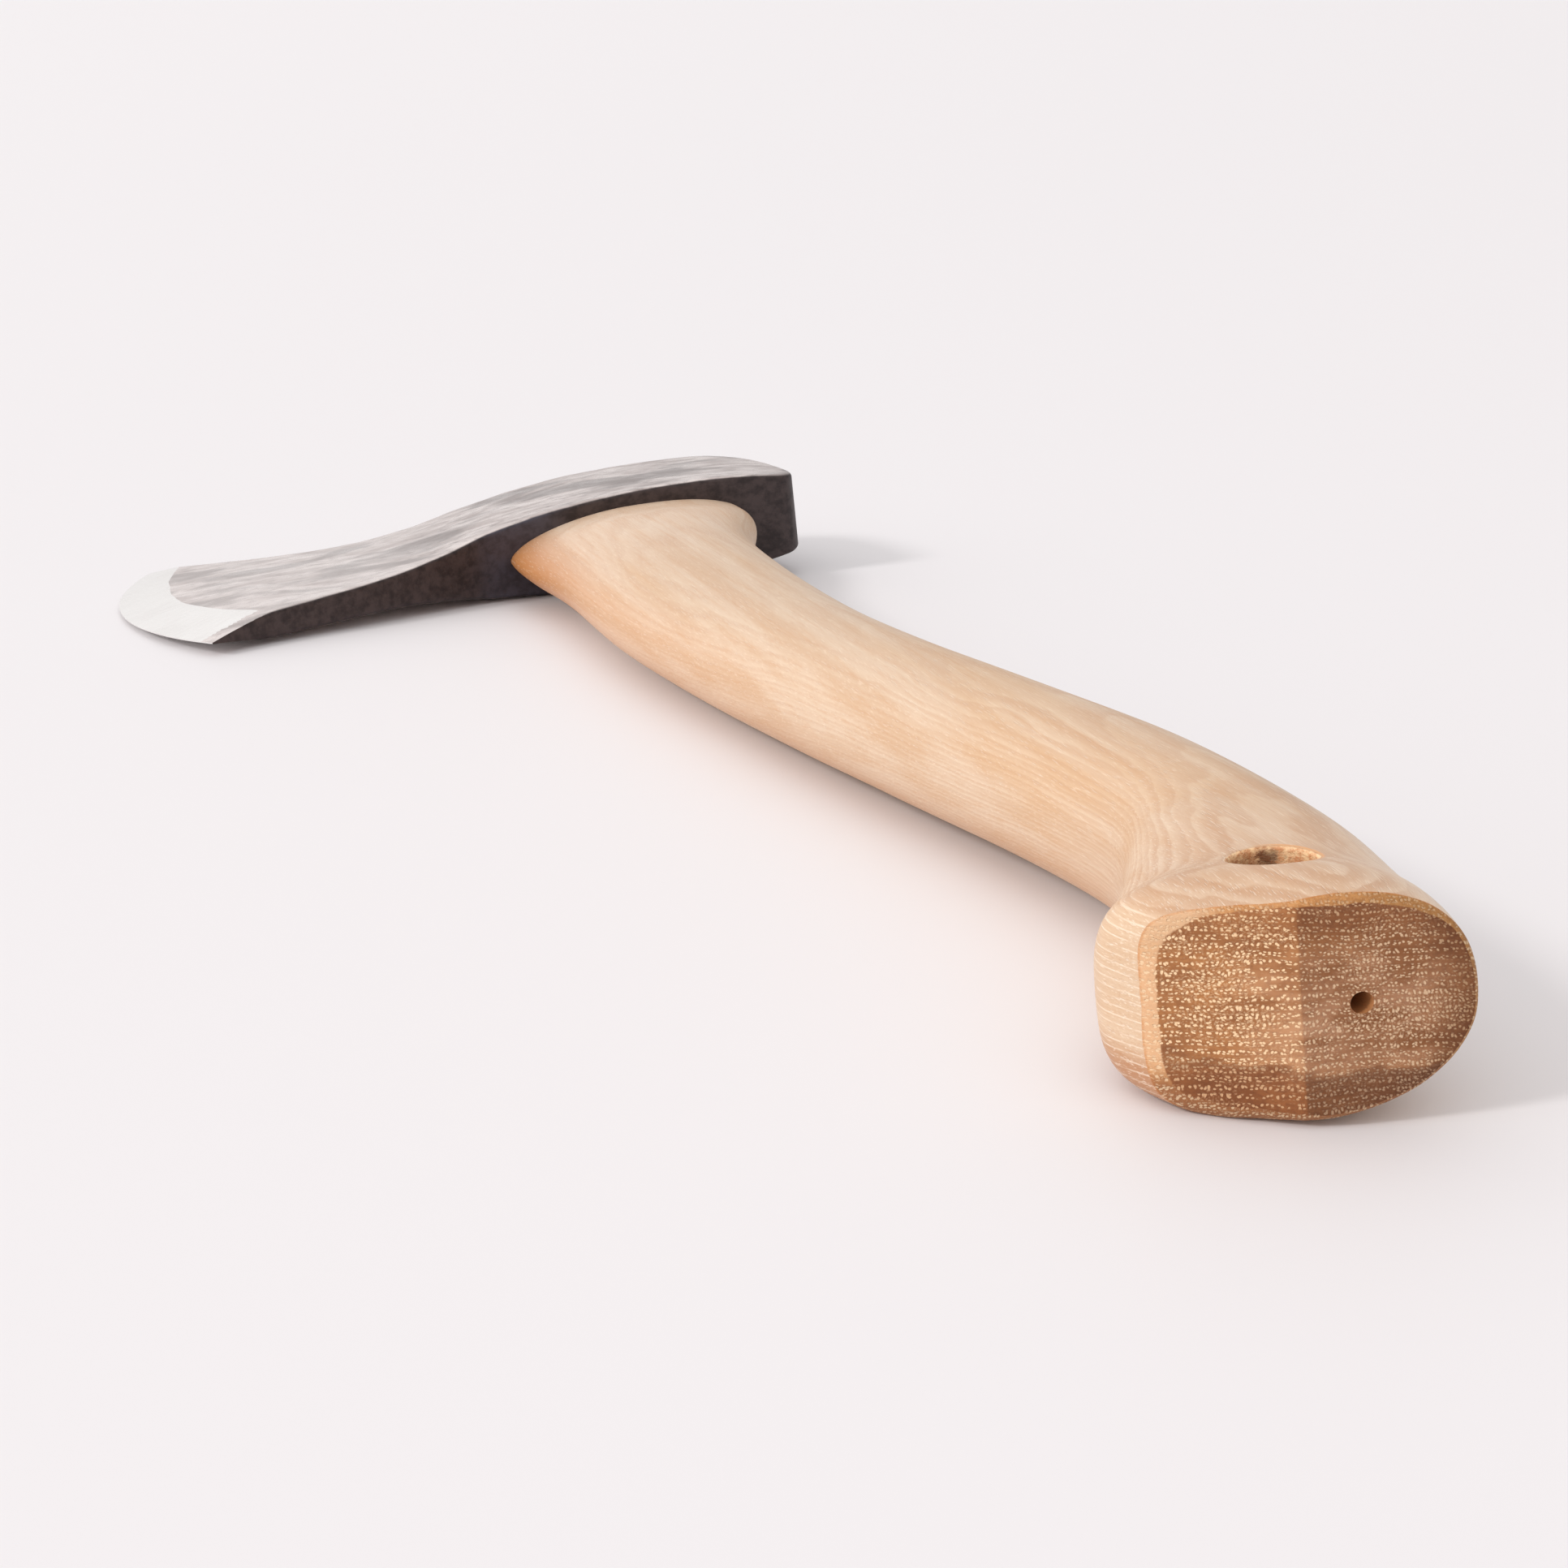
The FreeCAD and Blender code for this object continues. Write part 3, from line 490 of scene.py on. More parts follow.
def mark_edge(ob, points, marks):
    """Point attribute: below 0 on the sides, 0..1 across the worked-off edge, above 1 on the end cuts."""
    tree = KDTree(len(points))
    for i, p in enumerate(points):
        tree.insert(p, i)
    tree.balance()
    inv = REST.T
    values = np.zeros(len(ob.data.vertices), np.float32)
    for i, v in enumerate(ob.data.vertices):
        p = inv @ (np.array(v.co) * 1000.0 - SHIFT)
        toe, heel = end_distance(p)
        depth = max(toe, heel)
        if depth < -12.0:
            values[i] = -32.0
            continue
        _, k, dist = tree.find(v.co)
        values[i] = marks[k] if dist < 0.0004 else (2.0 if depth > -0.05 else -32.0)
    layer = ob.data.attributes.get("edge_mark") or ob.data.attributes.new("edge_mark", "FLOAT", "POINT")
    layer.data.foreach_set("value", values)


mark_edge(handle, edge_points, edge_marks)


# ------------------------------------------------------------ head data
EDGE_CX, EDGE_CY, EDGE_R, LAND = -32.21, 7.19, 79.0, 0.12
BEVEL_SLOPE = math.tan(math.radians(9.4))
HEAD = np.array([
    (-116.0, -65.0, 54.0, 1.12, 1.45, 1.10),
    (-108.0, -56.0, 52.0, 1.15, 1.72, 1.10),
    (-100.0, -47.0, 49.0, 1.20, 2.08, 1.12),
    (-94.0, -42.0, 45.0, 1.85, 2.42, 1.25),
    (-86.0, -36.0, 42.0, 2.65, 2.78, 1.55),
    (-78.0, -32.0, 38.0, 2.95, 2.96, 1.80),
    (-70.0, -29.0, 36.0, 3.10, 3.08, 2.00),
    (-62.0, -25.0, 35.0, 3.35, 3.26, 2.28),
    (-54.0, -20.0, 35.0, 3.85, 3.70, 2.80),
    (-47.0, -17.0, 36.0, 4.65, 4.50, 3.55),
    (-41.0, -14.0, 37.0, 5.65, 5.46, 4.50),
    (-35.0, -11.0, 38.0, 6.80, 6.60, 5.62),
    (-29.0, -9.0, 39.0, 7.85, 7.64, 6.66),
    (-22.0, -7.0, 41.0, 8.80, 8.55, 7.65),
    (-12.0, -6.0, 43.0, 9.95, 9.66, 8.80),
    (-2.0, -5.0, 43.0, 10.58, 10.30, 9.48),
    (8.0, -5.0, 43.0, 10.85, 10.56, 9.75),
    (18.0, -5.0, 43.0, 10.78, 10.48, 9.68),
    (28.0, -5.0, 43.0, 10.15, 9.90, 9.15),
    (43.0, -5.0, 43.0, 7.90, 7.70, 7.10),
])
OUTLINE = [(-125.0, 55.5), (-113.0, 49.6), (-102.0, 44.2), (-95.0, 40.7), (-87.0, 37.0), (-79.0, 34.1),
           (-70.0, 31.9), (-60.0, 31.0), (-50.0, 31.3), (-40.0, 32.6), (-30.0, 34.4), (-20.0, 36.2), (-10.0, 37.6),
           (0.0, 38.5), (10.0, 38.9), (20.0, 38.7),
           (26.5, 37.6), (31.3, 34.6), (34.9, 29.8), (37.2, 23.5), (38.7, 16.0), (39.2, 9.0), (38.8, 4.8),
           (36.8, 1.8), (32.5, 0.8),
           (24.0, 0.7), (15.0, 0.6), (6.0, 0.3), (-2.0, -0.2), (-10.0, -1.0), (-18.0, -2.1), (-24.0, -3.2),
           (-30.0, -4.9), (-35.0, -6.8), (-40.0, -9.2), (-46.0, -12.3), (-54.0, -16.3), (-62.0, -20.4),
           (-70.0, -24.2), (-78.0, -27.9), (-85.0, -31.5), (-92.0, -36.0), (-97.0, -39.8), (-106.0, -46.8),
           (-125.0, -61.5)]
HEAD_ROUND = 0.9


def blank_half(x, y):
    """Half thickness of the forged blank."""
    cols = natural_spline(HEAD[:, 0], HEAD[:, 1:], np.asarray(x, float))
    y0, y1, lo, mi, hi = cols.T
    ym = (y0 + y1) / 2
    s = (np.asarray(y, float) - ym) / ((y1 - y0) / 2)
    return mi + s * (hi - lo) / 2 + s * s * ((hi + lo) / 2 - mi)


def forged(pts):
    """Slight hammer and rolling marks, inward only, in mm."""
    broad = smooth_noise(3, pts, 30, 11.0, 26.0)
    fine = smooth_noise(5, pts, 40, 3.2, 7.0)
    calm = np.clip((pts[:, 0] + 100.0) / 25.0, 0.35, 1.0)
    return -(0.075 + (0.055 * broad + 0.016 * fine) * calm)


def build_head():
    raw = np.array(OUTLINE)
    t = np.concatenate(([0], np.cumsum(np.linalg.norm(np.diff(raw, axis=0), axis=1))))
    dense_t = np.arange(0, t[-1], 0.05)
    dense = natural_spline(t, raw, dense_t)
    rr = np.hypot(dense[:, 0] - EDGE_CX, dense[:, 1] - EDGE_CY)
    inside = np.where((rr < EDGE_R) | (dense[:, 0] > EDGE_CX))[0]
    i0, i1 = inside[0], inside[-1]

    def corner_t(a, b):
        f = (EDGE_R - rr[a]) / (rr[b] - rr[a])
        return dense_t[a] + f * (dense_t[b] - dense_t[a])

    t_toe, t_heel = corner_t(i0 - 1, i0), corner_t(i1, i1 + 1)
    # samples along the outline: finer round the poll corners and the blade corners
    fine_t = np.linspace(t_toe, t_heel, 4000)
    p = natural_spline(t, raw, fine_t)
    d1 = np.gradient(p, axis=0)
    turn = np.abs(np.gradient(np.unwrap(np.arctan2(d1[:, 1], d1[:, 0])))) / (np.linalg.norm(d1, axis=1) + 1e-9)
    step = np.clip(0.09 / (turn + 1e-6), 0.28, 0.9)
    ends = np.minimum(fine_t - t_toe, t_heel - fine_t)
    step = np.minimum(step, 0.3 + ends * 0.12)
    dens = np.concatenate(([0], np.cumsum(np.linalg.norm(np.diff(p, axis=0), axis=1) / step[:-1])))
    count = int(round(dens[-1]))
    ts = np.interp(np.linspace(0, dens[-1], count + 1), dens, fine_t)
    out = natural_spline(t, raw, ts)
    tang = natural_spline(t, raw, ts + 0.02) - natural_spline(t, raw, ts - 0.02)
    tang /= np.linalg.norm(tang, axis=1)[:, None]
    # the outline runs clockwise (toe, poll, heel): inside is to the right
    nrm = np.column_stack((tang[:, 1], -tang[:, 0]))
    cols = len(out)

    # direction along the edge arc, inward from each blade corner
    direction = nrm.copy()
    for k, ref in ((0, 1), (-1, -1)):
        rad = out[k] - (EDGE_CX, EDGE_CY)
        along = np.array((-rad[1], rad[0])) / np.linalg.norm(rad)
        if along @ nrm[k] < 0:
            along = -along
        dist = np.linalg.norm(out - out[k], axis=1)
        w = np.clip(1 - dist / 3.0, 0, 1)[:, None]
        blended = direction * (1 - w) + along * w
        direction = np.where(w > 0, blended, direction)
    direction /= np.sum(direction * nrm, axis=1)[:, None]

    phis = np.radians([0, 15, 30, 45, 60, 75, 90])
    offsets = HEAD_ROUND * (1 - np.cos(phis))
    drops = HEAD_ROUND * (1 - np.sin(phis))
    strips = [out + direction * d for d in offsets]
    inner = strips[-1]

    def radius_of(q):
        return np.hypot(q[:, 0] - EDGE_CX, q[:, 1] - EDGE_CY)

    def height(q, drop=0.0):
        h = blank_half(q[:, 0], q[:, 1]) + forged(q) - drop
        cone = LAND + np.maximum(EDGE_R - radius_of(q), 0) * BEVEL_SLOPE
        blade = q[:, 0] < -70
        return np.where(blade, np.minimum(h, cone), h), blade & (cone < h)

    # edge arc between the two inner ring ends
    def angle(q):
        return math.atan2(q[1] - EDGE_CY, -(q[0] - EDGE_CX))

    a0, a1 = angle(inner[-1]), angle(inner[0])
    n_edge = int(round((a1 - a0) * EDGE_R / 0.55))
    aa = np.linspace(a0, a1, n_edge + 1)

    def polar(r, a):
        return np.column_stack((EDGE_CX - r * np.cos(a), EDGE_CY + r * np.sin(a)))

    edge = polar(EDGE_R, aa)[1:-1]

    # line where the ground bevel runs out into the blank
    def crease(a):
        rs = np.linspace(EDGE_R - 16.0, EDGE_R, 600)
        q = polar(rs, a)
        h = blank_half(q[:, 0], q[:, 1]) + forged(q)
        cone = LAND + (EDGE_R - rs) * BEVEL_SLOPE
        below = np.where(cone - h > 0)[0]
        if not len(below):
            return EDGE_R
        k = below[-1]
        f = (cone[k] - h[k]) / ((cone[k] - h[k]) - (cone[k + 1] - h[k + 1]))
        return rs[k] + f * (rs[k + 1] - rs[k])

    ca = np.linspace(a0 - 0.02, a1 + 0.02, int((a1 - a0) * EDGE_R / 0.6))
    cr = np.array([crease(a) for a in ca])
    line = polar(cr, ca)

    # inner domain polygon
    poly = np.concatenate((inner, edge[0:0], polar(EDGE_R, aa)[1:-1][::1])) if False else np.concatenate((inner, edge))
    poly = np.concatenate((inner, edge)) if angle(edge[0]) < angle(edge[-1]) else np.concatenate((inner, edge[::-1]))

    def in_poly(q, poly, margin):
        x, y = q[:, 0], q[:, 1]
        inside = np.zeros(len(q), bool)
        px, py = poly[:, 0], poly[:, 1]
        qx, qy = np.roll(px, -1), np.roll(py, -1)
        near = np.full(len(q), 1e9)
        for k in range(len(poly)):
            cond = (py[k] > y) != (qy[k] > y)
            if cond.any():
                xi = px[k] + (y - py[k]) * (qx[k] - px[k]) / (qy[k] - py[k] + 1e-15)
                inside ^= cond & (x < xi)
            ax, ay = qx[k] - px[k], qy[k] - py[k]
            f = np.clip(((x - px[k]) * ax + (y - py[k]) * ay) / (ax * ax + ay * ay + 1e-15), 0, 1)
            near = np.minimum(near, np.hypot(x - px[k] - f * ax, y - py[k] - f * ay))
        return inside & (near > margin)

    ok = in_poly(line, poly, 0.12)
    crease_pts = line[ok]
    # interior points: polar in the blade, square grid elsewhere
    pts = []
    for d in np.concatenate((np.arange(0.45, 16, 0.62), np.arange(16.3, 24, 0.9))):
        r = EDGE_R - d
        n = int((a1 - a0 + 0.1) * r / 0.8)
        shift = (len(pts) % 2) * 0.5
        a = (np.arange(n) + shift) / n * (a1 - a0 + 0.1) + a0 - 0.05
        pts.append(polar(r, a))
    blade_pts = np.concatenate(pts)
    d_c = np.abs(radius_of(blade_pts) - np.interp(np.arctan2(blade_pts[:, 1] - EDGE_CY, -(blade_pts[:, 0] - EDGE_CX)), ca, cr))
    blade_pts = blade_pts[d_c > 0.25]
    gx, gy = np.meshgrid(np.arange(-95, 40, 0.95), np.arange(-45, 42, 0.95))
    gx = gx + (np.arange(gx.shape[0]) % 2)[:, None] * 0.475
    sq = np.column_stack((gx.ravel(), gy.ravel()))
    rq = radius_of(sq)
    sq = sq[(rq < EDGE_R - 24.3) | (sq[:, 0] > EDGE_CX)]
    free = np.concatenate((blade_pts, sq))
    free = free[in_poly(free, poly, 0.3)]
    n_poly, n_line = len(poly), len(crease_pts)
    allp = np.concatenate((poly, crease_pts, free))
    edges = [(i, (i + 1) % n_poly) for i in range(n_poly)]
    for i in range(n_line - 1):
        if np.linalg.norm(crease_pts[i + 1] - crease_pts[i]) < 2.0:
            edges.append((n_poly + i, n_poly + i + 1))
    verts2, _, tris, ov, _, _ = delaunay_2d_cdt([Vector(q) for q in allp.tolist()], edges, [list(range(n_poly))], 1, 1e-6)
    v2 = np.array([(v.x, v.y) for v in verts2])
    # first original index of each output vertex
    back = {}
    for k, src in enumerate(ov):
        for s in src:
            back[s] = k
    h2, _ = height(v2)
    n_in = len(v2)

    # vertices: upper cheek, upper strips, wall rows, lower strips, lower cheek
    verts = [np.column_stack((v2, h2)), np.column_stack((v2, -h2))]
    faces, tags = [], []

    def tag_of(q):
        r = math.hypot(q[0] - EDGE_CX, q[1] - EDGE_CY)
        a = math.atan2(q[1] - EDGE_CY, -(q[0] - EDGE_CX))
        return 1 if (q[0] < -70 and r > np.interp(a, ca, cr)) else 0

    for tri in tris:
        c = v2[list(tri)].mean(0)
        tag = tag_of(c)
        faces.append(tuple(tri))
        tags.append(tag)
        faces.append(tuple(n_in + k for k in reversed(tri)))
        tags.append(tag)
    base = 2 * n_in
    inner_up = [back[k] for k in range(cols)]
    level = [inner_up]
    start = base
    upper = []
    for k in range(len(strips) - 2, -1, -1):
        h, _ = height(strips[k], drops[k])
        h = np.maximum(h, 0.05)
        upper.append(np.column_stack((strips[k], h)))
    rim = upper[-1][:, 2]
    wall = []
    n_wall = 12
    for f in np.linspace(1, -1, n_wall + 1)[1:-1]:
        wall.append(np.column_stack((strips[0], rim * f)))
    lower = [np.column_stack((s[:, :2], -s[:, 2])) for s in reversed(upper)]
    for row in upper + wall + lower:
        verts.append(row)
        level.append(list(range(start, start + cols)))
        start += cols
    level.append([n_in + k for k in inner_up])
    n_up = len(upper)
    for li in range(len(level) - 1):
        a, b = level[li], level[li + 1]
        for j in range(cols - 1):
            faces.append((a[j], a[j + 1], b[j + 1], b[j]))
            c = (out[j] + out[j + 1]) / 2
            in_strip = li < n_up or li >= len(level) - 1 - n_up
            q = (inner[j] + inner[j + 1]) / 2
            tags.append(tag_of(q) if in_strip else 0)
    allv = np.concatenate(verts)
    # edge land: close the strip between upper and lower sides along the edge
    edge_up = [back[cols - 1]] + [back[cols + k] for k in range(n_poly - cols)] + [back[0]]
    for a, b in zip(edge_up[:-1], edge_up[1:]):
        faces.append((a, b, n_in + b, n_in + a))
        tags.append(1)
    # close the two blade corners: the column of strip and wall vertices
    for j in (0, cols - 1):
        ring = [lv[j] for lv in level]
        faces.append(tuple(ring))
        tags.append(1)
    me = bpy.data.meshes.new("axe_head_steel")
    me.from_pydata([tuple(v) for v in laid(allv)], [], faces)
    me.polygons.foreach_set("material_index", tags)
    ob = bpy.data.objects.new("axe_head_steel", me)
    bpy.context.scene.collection.objects.link(ob)
    return ob


head = build_head()
bm = bmesh.new()
bm.from_mesh(head.data)
bmesh.ops.remove_doubles(bm, verts=bm.verts, dist=0.000004)
bmesh.ops.recalc_face_normals(bm, faces=bm.faces)
open_edges = sum(1 for e in bm.edges if len(e.link_faces) != 2)
bm.to_mesh(head.data)
bm.free()
print("head open edges", open_edges, "faces", len(head.data.polygons))

# eye: the straight tongue shape, run out past both ends
u_eye = np.arange(192) * NRING / 192.0
eye_rows = []
for y in (-20.0, 60.0):
    f = (y - TONGUE_TOP[1]) / (TONGUE_LOW[1] - TONGUE_TOP[1])
    eye_rows.append(closed_basis(NRING, u_eye) @ (TOP_RING + (LOW_RING - TOP_RING) * f))
eye_cut = lathe("eye_cut", eye_rows)


def finish_surface(ob, looks, angle=32.0):
    """Smooth shading with sharp edges; with no looks given, the material indices stay."""
    if looks:
        ob.data.materials.clear()
        for m in looks:
            ob.data.materials.append(m)
    me = ob.data
    me.polygons.foreach_set("use_smooth", [True] * len(me.polygons))
    me.set_sharp_from_angle(angle=math.radians(angle))
    if len(me.materials) > 1:
        slots = np.zeros(len(me.polygons), np.int32)
        me.polygons.foreach_get("material_index", slots)
        seen = {}
        for p in me.polygons:
            for key in p.edge_keys:
                seen.setdefault(key, set()).add(int(slots[p.index]))
        layer = me.attributes.get("sharp_edge") or me.attributes.new("sharp_edge", "BOOLEAN", "EDGE")
        for e in me.edges:
            if len(seen.get(tuple(sorted(e.vertices)), ())) > 1:
                layer.data[e.index].value = True
    me.update()


# ------------------------------------------------------------ material nodes
class Nodes:
    def __init__(self, name):
        self.mat = bpy.data.materials.new(name)
        self.mat.use_nodes = True
        self.t = self.mat.node_tree
        self.t.nodes.clear()
        out = self.t.nodes.new("ShaderNodeOutputMaterial")
        self.bsdf = self.t.nodes.new("ShaderNodeBsdfPrincipled")
        self.t.links.new(self.bsdf.outputs[0], out.inputs[0])
        self.coords()

    def put(self, socket, value):
        if isinstance(value, bpy.types.NodeSocket):
            self.t.links.new(value, socket)
        elif isinstance(value, (tuple, list)) and len(value) == 3 and socket.type == "RGBA":
            socket.default_value = (*value, 1.0)
        else:
            socket.default_value = value

    def math(self, op, a, b=None, c=None, clamp=False):
        n = self.t.nodes.new("ShaderNodeMath")
        n.operation = op
        n.use_clamp = clamp
        for i, v in enumerate((a, b, c)):
            if v is not None:
                self.put(n.inputs[i], v)
        return n.outputs[0]

    def vec(self, op, a, b):
        n = self.t.nodes.new("ShaderNodeVectorMath")
        n.operation = op
        self.put(n.inputs[0], a)
        self.put(n.inputs[1], b)
        return n.outputs["Value"] if op == "DOT_PRODUCT" else n.outputs["Vector"]

    def join(self, x, y, z):
        n = self.t.nodes.new("ShaderNodeCombineXYZ")
        for i, v in enumerate((x, y, z)):
            self.put(n.inputs[i], v)
        return n.outputs[0]

    def coords(self):
        """Position in the tool's own frame, in mm."""
        tc = self.t.nodes.new("ShaderNodeTexCoord")
        p = self.vec("SUBTRACT", self.vec("MULTIPLY", tc.outputs["Object"], (1000.0, 1000.0, 1000.0)), tuple(SHIFT))
        self.x, self.y, self.z = (self.vec("DOT_PRODUCT", p, tuple(REST[:, i])) for i in range(3))
        self.p = self.join(self.x, self.y, self.z)

    def normal(self):
        g = self.t.nodes.new("ShaderNodeNewGeometry")
        return [self.vec("DOT_PRODUCT", g.outputs["Normal"], tuple(REST[:, i])) for i in range(3)]

    def scaled(self, sx, sy, sz, source=None):
        return self.vec("MULTIPLY", source or self.p, (1.0 / sx, 1.0 / sy, 1.0 / sz))

    def noise(self, vector, detail=2.0, rough=0.5, distort=0.0, scale=1.0):
        n = self.t.nodes.new("ShaderNodeTexNoise")
        self.put(n.inputs["Vector"], vector)
        n.inputs["Scale"].default_value = scale
        n.inputs["Detail"].default_value = detail
        n.inputs["Roughness"].default_value = rough
        n.inputs["Distortion"].default_value = distort
        return n.outputs["Fac"]

    def mark(self, name):
        n = self.t.nodes.new("ShaderNodeAttribute")
        n.attribute_name = name
        return n.outputs["Fac"]

    def cells(self, vector, randomness=1.0, feature="F1", output="Distance", dims="3D"):
        n = self.t.nodes.new("ShaderNodeTexVoronoi")
        n.voronoi_dimensions = dims
        n.feature = feature
        self.put(n.inputs["Vector"], vector)
        n.inputs["Scale"].default_value = 1.0
        n.inputs["Randomness"].default_value = randomness
        return n.outputs[output]

    def span(self, v, a, b, lo=0.0, hi=1.0, smooth=True):
        n = self.t.nodes.new("ShaderNodeMapRange")
        n.interpolation_type = "SMOOTHSTEP" if smooth else "LINEAR"
        self.put(n.inputs["Value"], v)
        n.inputs["From Min"].default_value = a
        n.inputs["From Max"].default_value = b
        n.inputs["To Min"].default_value = lo
        n.inputs["To Max"].default_value = hi
        return n.outputs["Result"]

    def mix(self, fac, a, b, blend="MIX"):
        n = self.t.nodes.new("ShaderNodeMix")
        n.data_type = "RGBA"
        n.blend_type = blend
        self.put(n.inputs[0], fac)
        self.put(n.inputs[6], a)
        self.put(n.inputs[7], b)
        return n.outputs[2]

    def fmix(self, fac, a, b):
        n = self.t.nodes.new("ShaderNodeMix")
        n.data_type = "FLOAT"
        self.put(n.inputs[0], fac)
        self.put(n.inputs[2], a)
        self.put(n.inputs[3], b)
        return n.outputs[0]

    def bump(self, height, mm, chain=None):
        n = self.t.nodes.new("ShaderNodeBump")
        n.inputs["Strength"].default_value = 1.0
        n.inputs["Distance"].default_value = mm / 1000.0
        self.put(n.inputs["Height"], height)
        if chain is not None:
            self.put(n.inputs["Normal"], chain)
        return n.outputs["Normal"]

    def set(self, **values):
        names = {"color": "Base Color", "metal": "Metallic", "rough": "Roughness", "normal": "Normal",
                 "spec": "Specular IOR Level", "ior": "IOR", "coat": "Coat Weight", "coat_rough": "Coat Roughness",
                 "aniso": "Anisotropic"}
        for k, v in values.items():
            self.put(self.bsdf.inputs[names[k]], v)
        return self.mat


def srgb(r, g, b):
    out = []
    for c in (r, g, b):
        c /= 255.0
        out.append(c / 12.92 if c <= 0.04045 else ((c + 0.055) / 1.055) ** 2.4)
    return tuple(out)


WOOD_CREAM, WOOD_TAN = srgb(223, 197, 170), srgb(213, 179, 146)
END_LIGHT, END_DARK, DOT = srgb(184, 124, 74), srgb(154, 98, 55), srgb(252, 215, 171)
CHEEK_SHEEN_LIGHT, CHEEK_SHEEN_MID, CHEEK_SHEEN_DARK = srgb(238, 227, 223), srgb(192, 179, 175), srgb(108, 97, 95)
WALL_LIGHT, WALL_DARK = srgb(76, 64, 63), srgb(49, 40, 40)


# ------------------------------------------------------------ ash wood
def wood(name):
    m = Nodes(name)
    nx, ny, nz = m.normal()
    mark = m.mark("edge_mark")

    def mul(*v):
        out = v[0]
        for w in v[1:]:
            out = m.math("MULTIPLY", out, w)
        return out

    # growth rings: nearly flat layers stacked through the thickness
    warp = m.noise(m.scaled(26, 120, 26), detail=1.0)
    warp2 = m.noise(m.scaled(7, 34, 7), detail=2.0)
    ring = m.math("ADD", m.z, mul(m.math("SUBTRACT", warp, 0.5), 5.0))
    ring = m.math("ADD", ring, mul(m.math("SUBTRACT", warp2, 0.5), 0.9))
    ring = m.math("ADD", ring, mul(m.math("POWER", m.math("ABSOLUTE", m.x), 2.0), 0.0035))
    phase = m.math("FRACT", m.math("DIVIDE", m.math("ADD", ring, 200.0), 1.15))
    wave = m.math("SUBTRACT", 1.0, m.math("ABSOLUTE", m.math("SUBTRACT", mul(phase, 2.0), 1.0)))
    early = m.span(wave, 0.45, 0.95)
    # long streaks
    s1 = m.noise(m.scaled(3.8, 120, 3.8), detail=3.0, rough=0.5)
    s2 = m.noise(m.scaled(0.8, 30, 0.8), detail=3.0, rough=0.6)
    s3 = m.noise(m.scaled(0.22, 9, 0.22), detail=2.0, rough=0.6)
    tone = m.noise(m.scaled(20, 75, 14), detail=2.0)
    # faces along the grain
    neck = m.span(m.y, -95.0, -25.0)
    knob = m.span(m.y, -285.0, -318.0)
    face = m.mix(m.span(s1, 0.34, 0.70), WOOD_CREAM, WOOD_TAN)
    face = m.mix(mul(neck, 0.45), face, srgb(236, 212, 190))
    face = m.mix(mul(m.span(s2, 0.48, 0.78), 0.30), face, srgb(208, 160, 118))
    face = m.mix(mul(early, m.fmix(knob, 0.15, 0.26)), face, srgb(200, 150, 112))
    face = m.mix(mul(m.span(tone, 0.52, 0.74), 0.26), face, srgb(214, 166, 112))
    low_side = mul(m.span(m.z, 1.0, -9.0), m.span(nx, 0.1, -0.6))
    face = m.mix(mul(low_side, m.span(m.y, -330.0, -290.0), 0.26), face, srgb(204, 136, 80))
    front = mul(m.span(m.y, -200.0, -30.0), m.span(nx, -0.35, -0.9))
    face = m.mix(mul(front, 0.40), face, srgb(212, 140, 80))
    tip = mul(m.span(m.x, -15.0, -27.0), m.span(m.y, -75.0, -12.0))
    face = m.mix(mul(tip, 0.80), face, srgb(186, 114, 44))
    # painted shade: the knob's upward faces are painted a little darker and pinker because they catch less light; the
    # same mask also strengthens the flecks and ring lines there
    upper = mul(knob, m.span(nz, 0.3, 0.8))
    face = m.mix(mul(upper, 0.34), face, srgb(214, 176, 146))
    slow = m.noise(m.scaled(6, 22, 3), detail=2.0)
    veil = m.math("FRACT", m.math("DIVIDE", m.math("ADD", m.math("ADD", ring, mul(slow, 1.6)), 200.0), 0.82))
    veil = mul(m.span(veil, 0.0, 0.75), m.span(veil, 1.0, 0.86))
    low_grip = m.span(m.y, -175.0, -235.0)
    face = m.mix(mul(veil, m.fmix(upper, m.fmix(low_grip, 0.12, 0.26), 0.44)), face, srgb(190, 140, 100))
    toe_side = mul(m.span(m.y, -306.0, -318.0), m.span(nx, -0.45, -0.8))
    face = m.mix(mul(toe_side, 0.55), face, srgb(222, 190, 156))
    toe_low = mul(m.span(m.y, -296.0, -306.0), m.span(nx, 0.3, -0.3), m.span(m.math("SUBTRACT", m.z, mul(s2, 3.0)), -5.5, -10.5))
    face = m.mix(mul(toe_low, 0.72), face, srgb(178, 114, 68))
    # painted light: the knob's faces turned to the back, away from the key light, are painted lighter
    back_side = mul(knob, m.span(nx, 0.15, 0.65))
    face = m.mix(mul(back_side, 0.85), face, srgb(246, 222, 198))
    # pores: short pale flecks and hair-thin streaks along the grain
    pore = m.cells(m.scaled(0.32, 4.2, 0.32))
    flecks = mul(m.span(pore, 0.34, 0.18), m.span(wave, 0.15, 0.65))
    hair = m.noise(m.scaled(0.20, 4.0, 0.20), detail=1.0)
    hairs = m.span(hair, 0.60, 0.74)
    face = m.mix(mul(flecks, m.fmix(knob, 0.22, m.fmix(upper, 0.50, 0.34))), face, srgb(252, 234, 214))
    face = m.mix(mul(hairs, m.fmix(knob, 0.25, m.fmix(upper, 0.50, 0.36))), face, srgb(250, 230, 208))
    face = m.mix(mul(m.span(hair, 0.40, 0.28), m.fmix(knob, 0.20, 0.28)), face, srgb(196, 146, 108))
    drawn = mul(m.span(wave, 0.70, 0.95), m.span(s2, 0.30, 0.60), toe_side)
    face = m.mix(mul(drawn, 0.55), face, srgb(253, 236, 214))
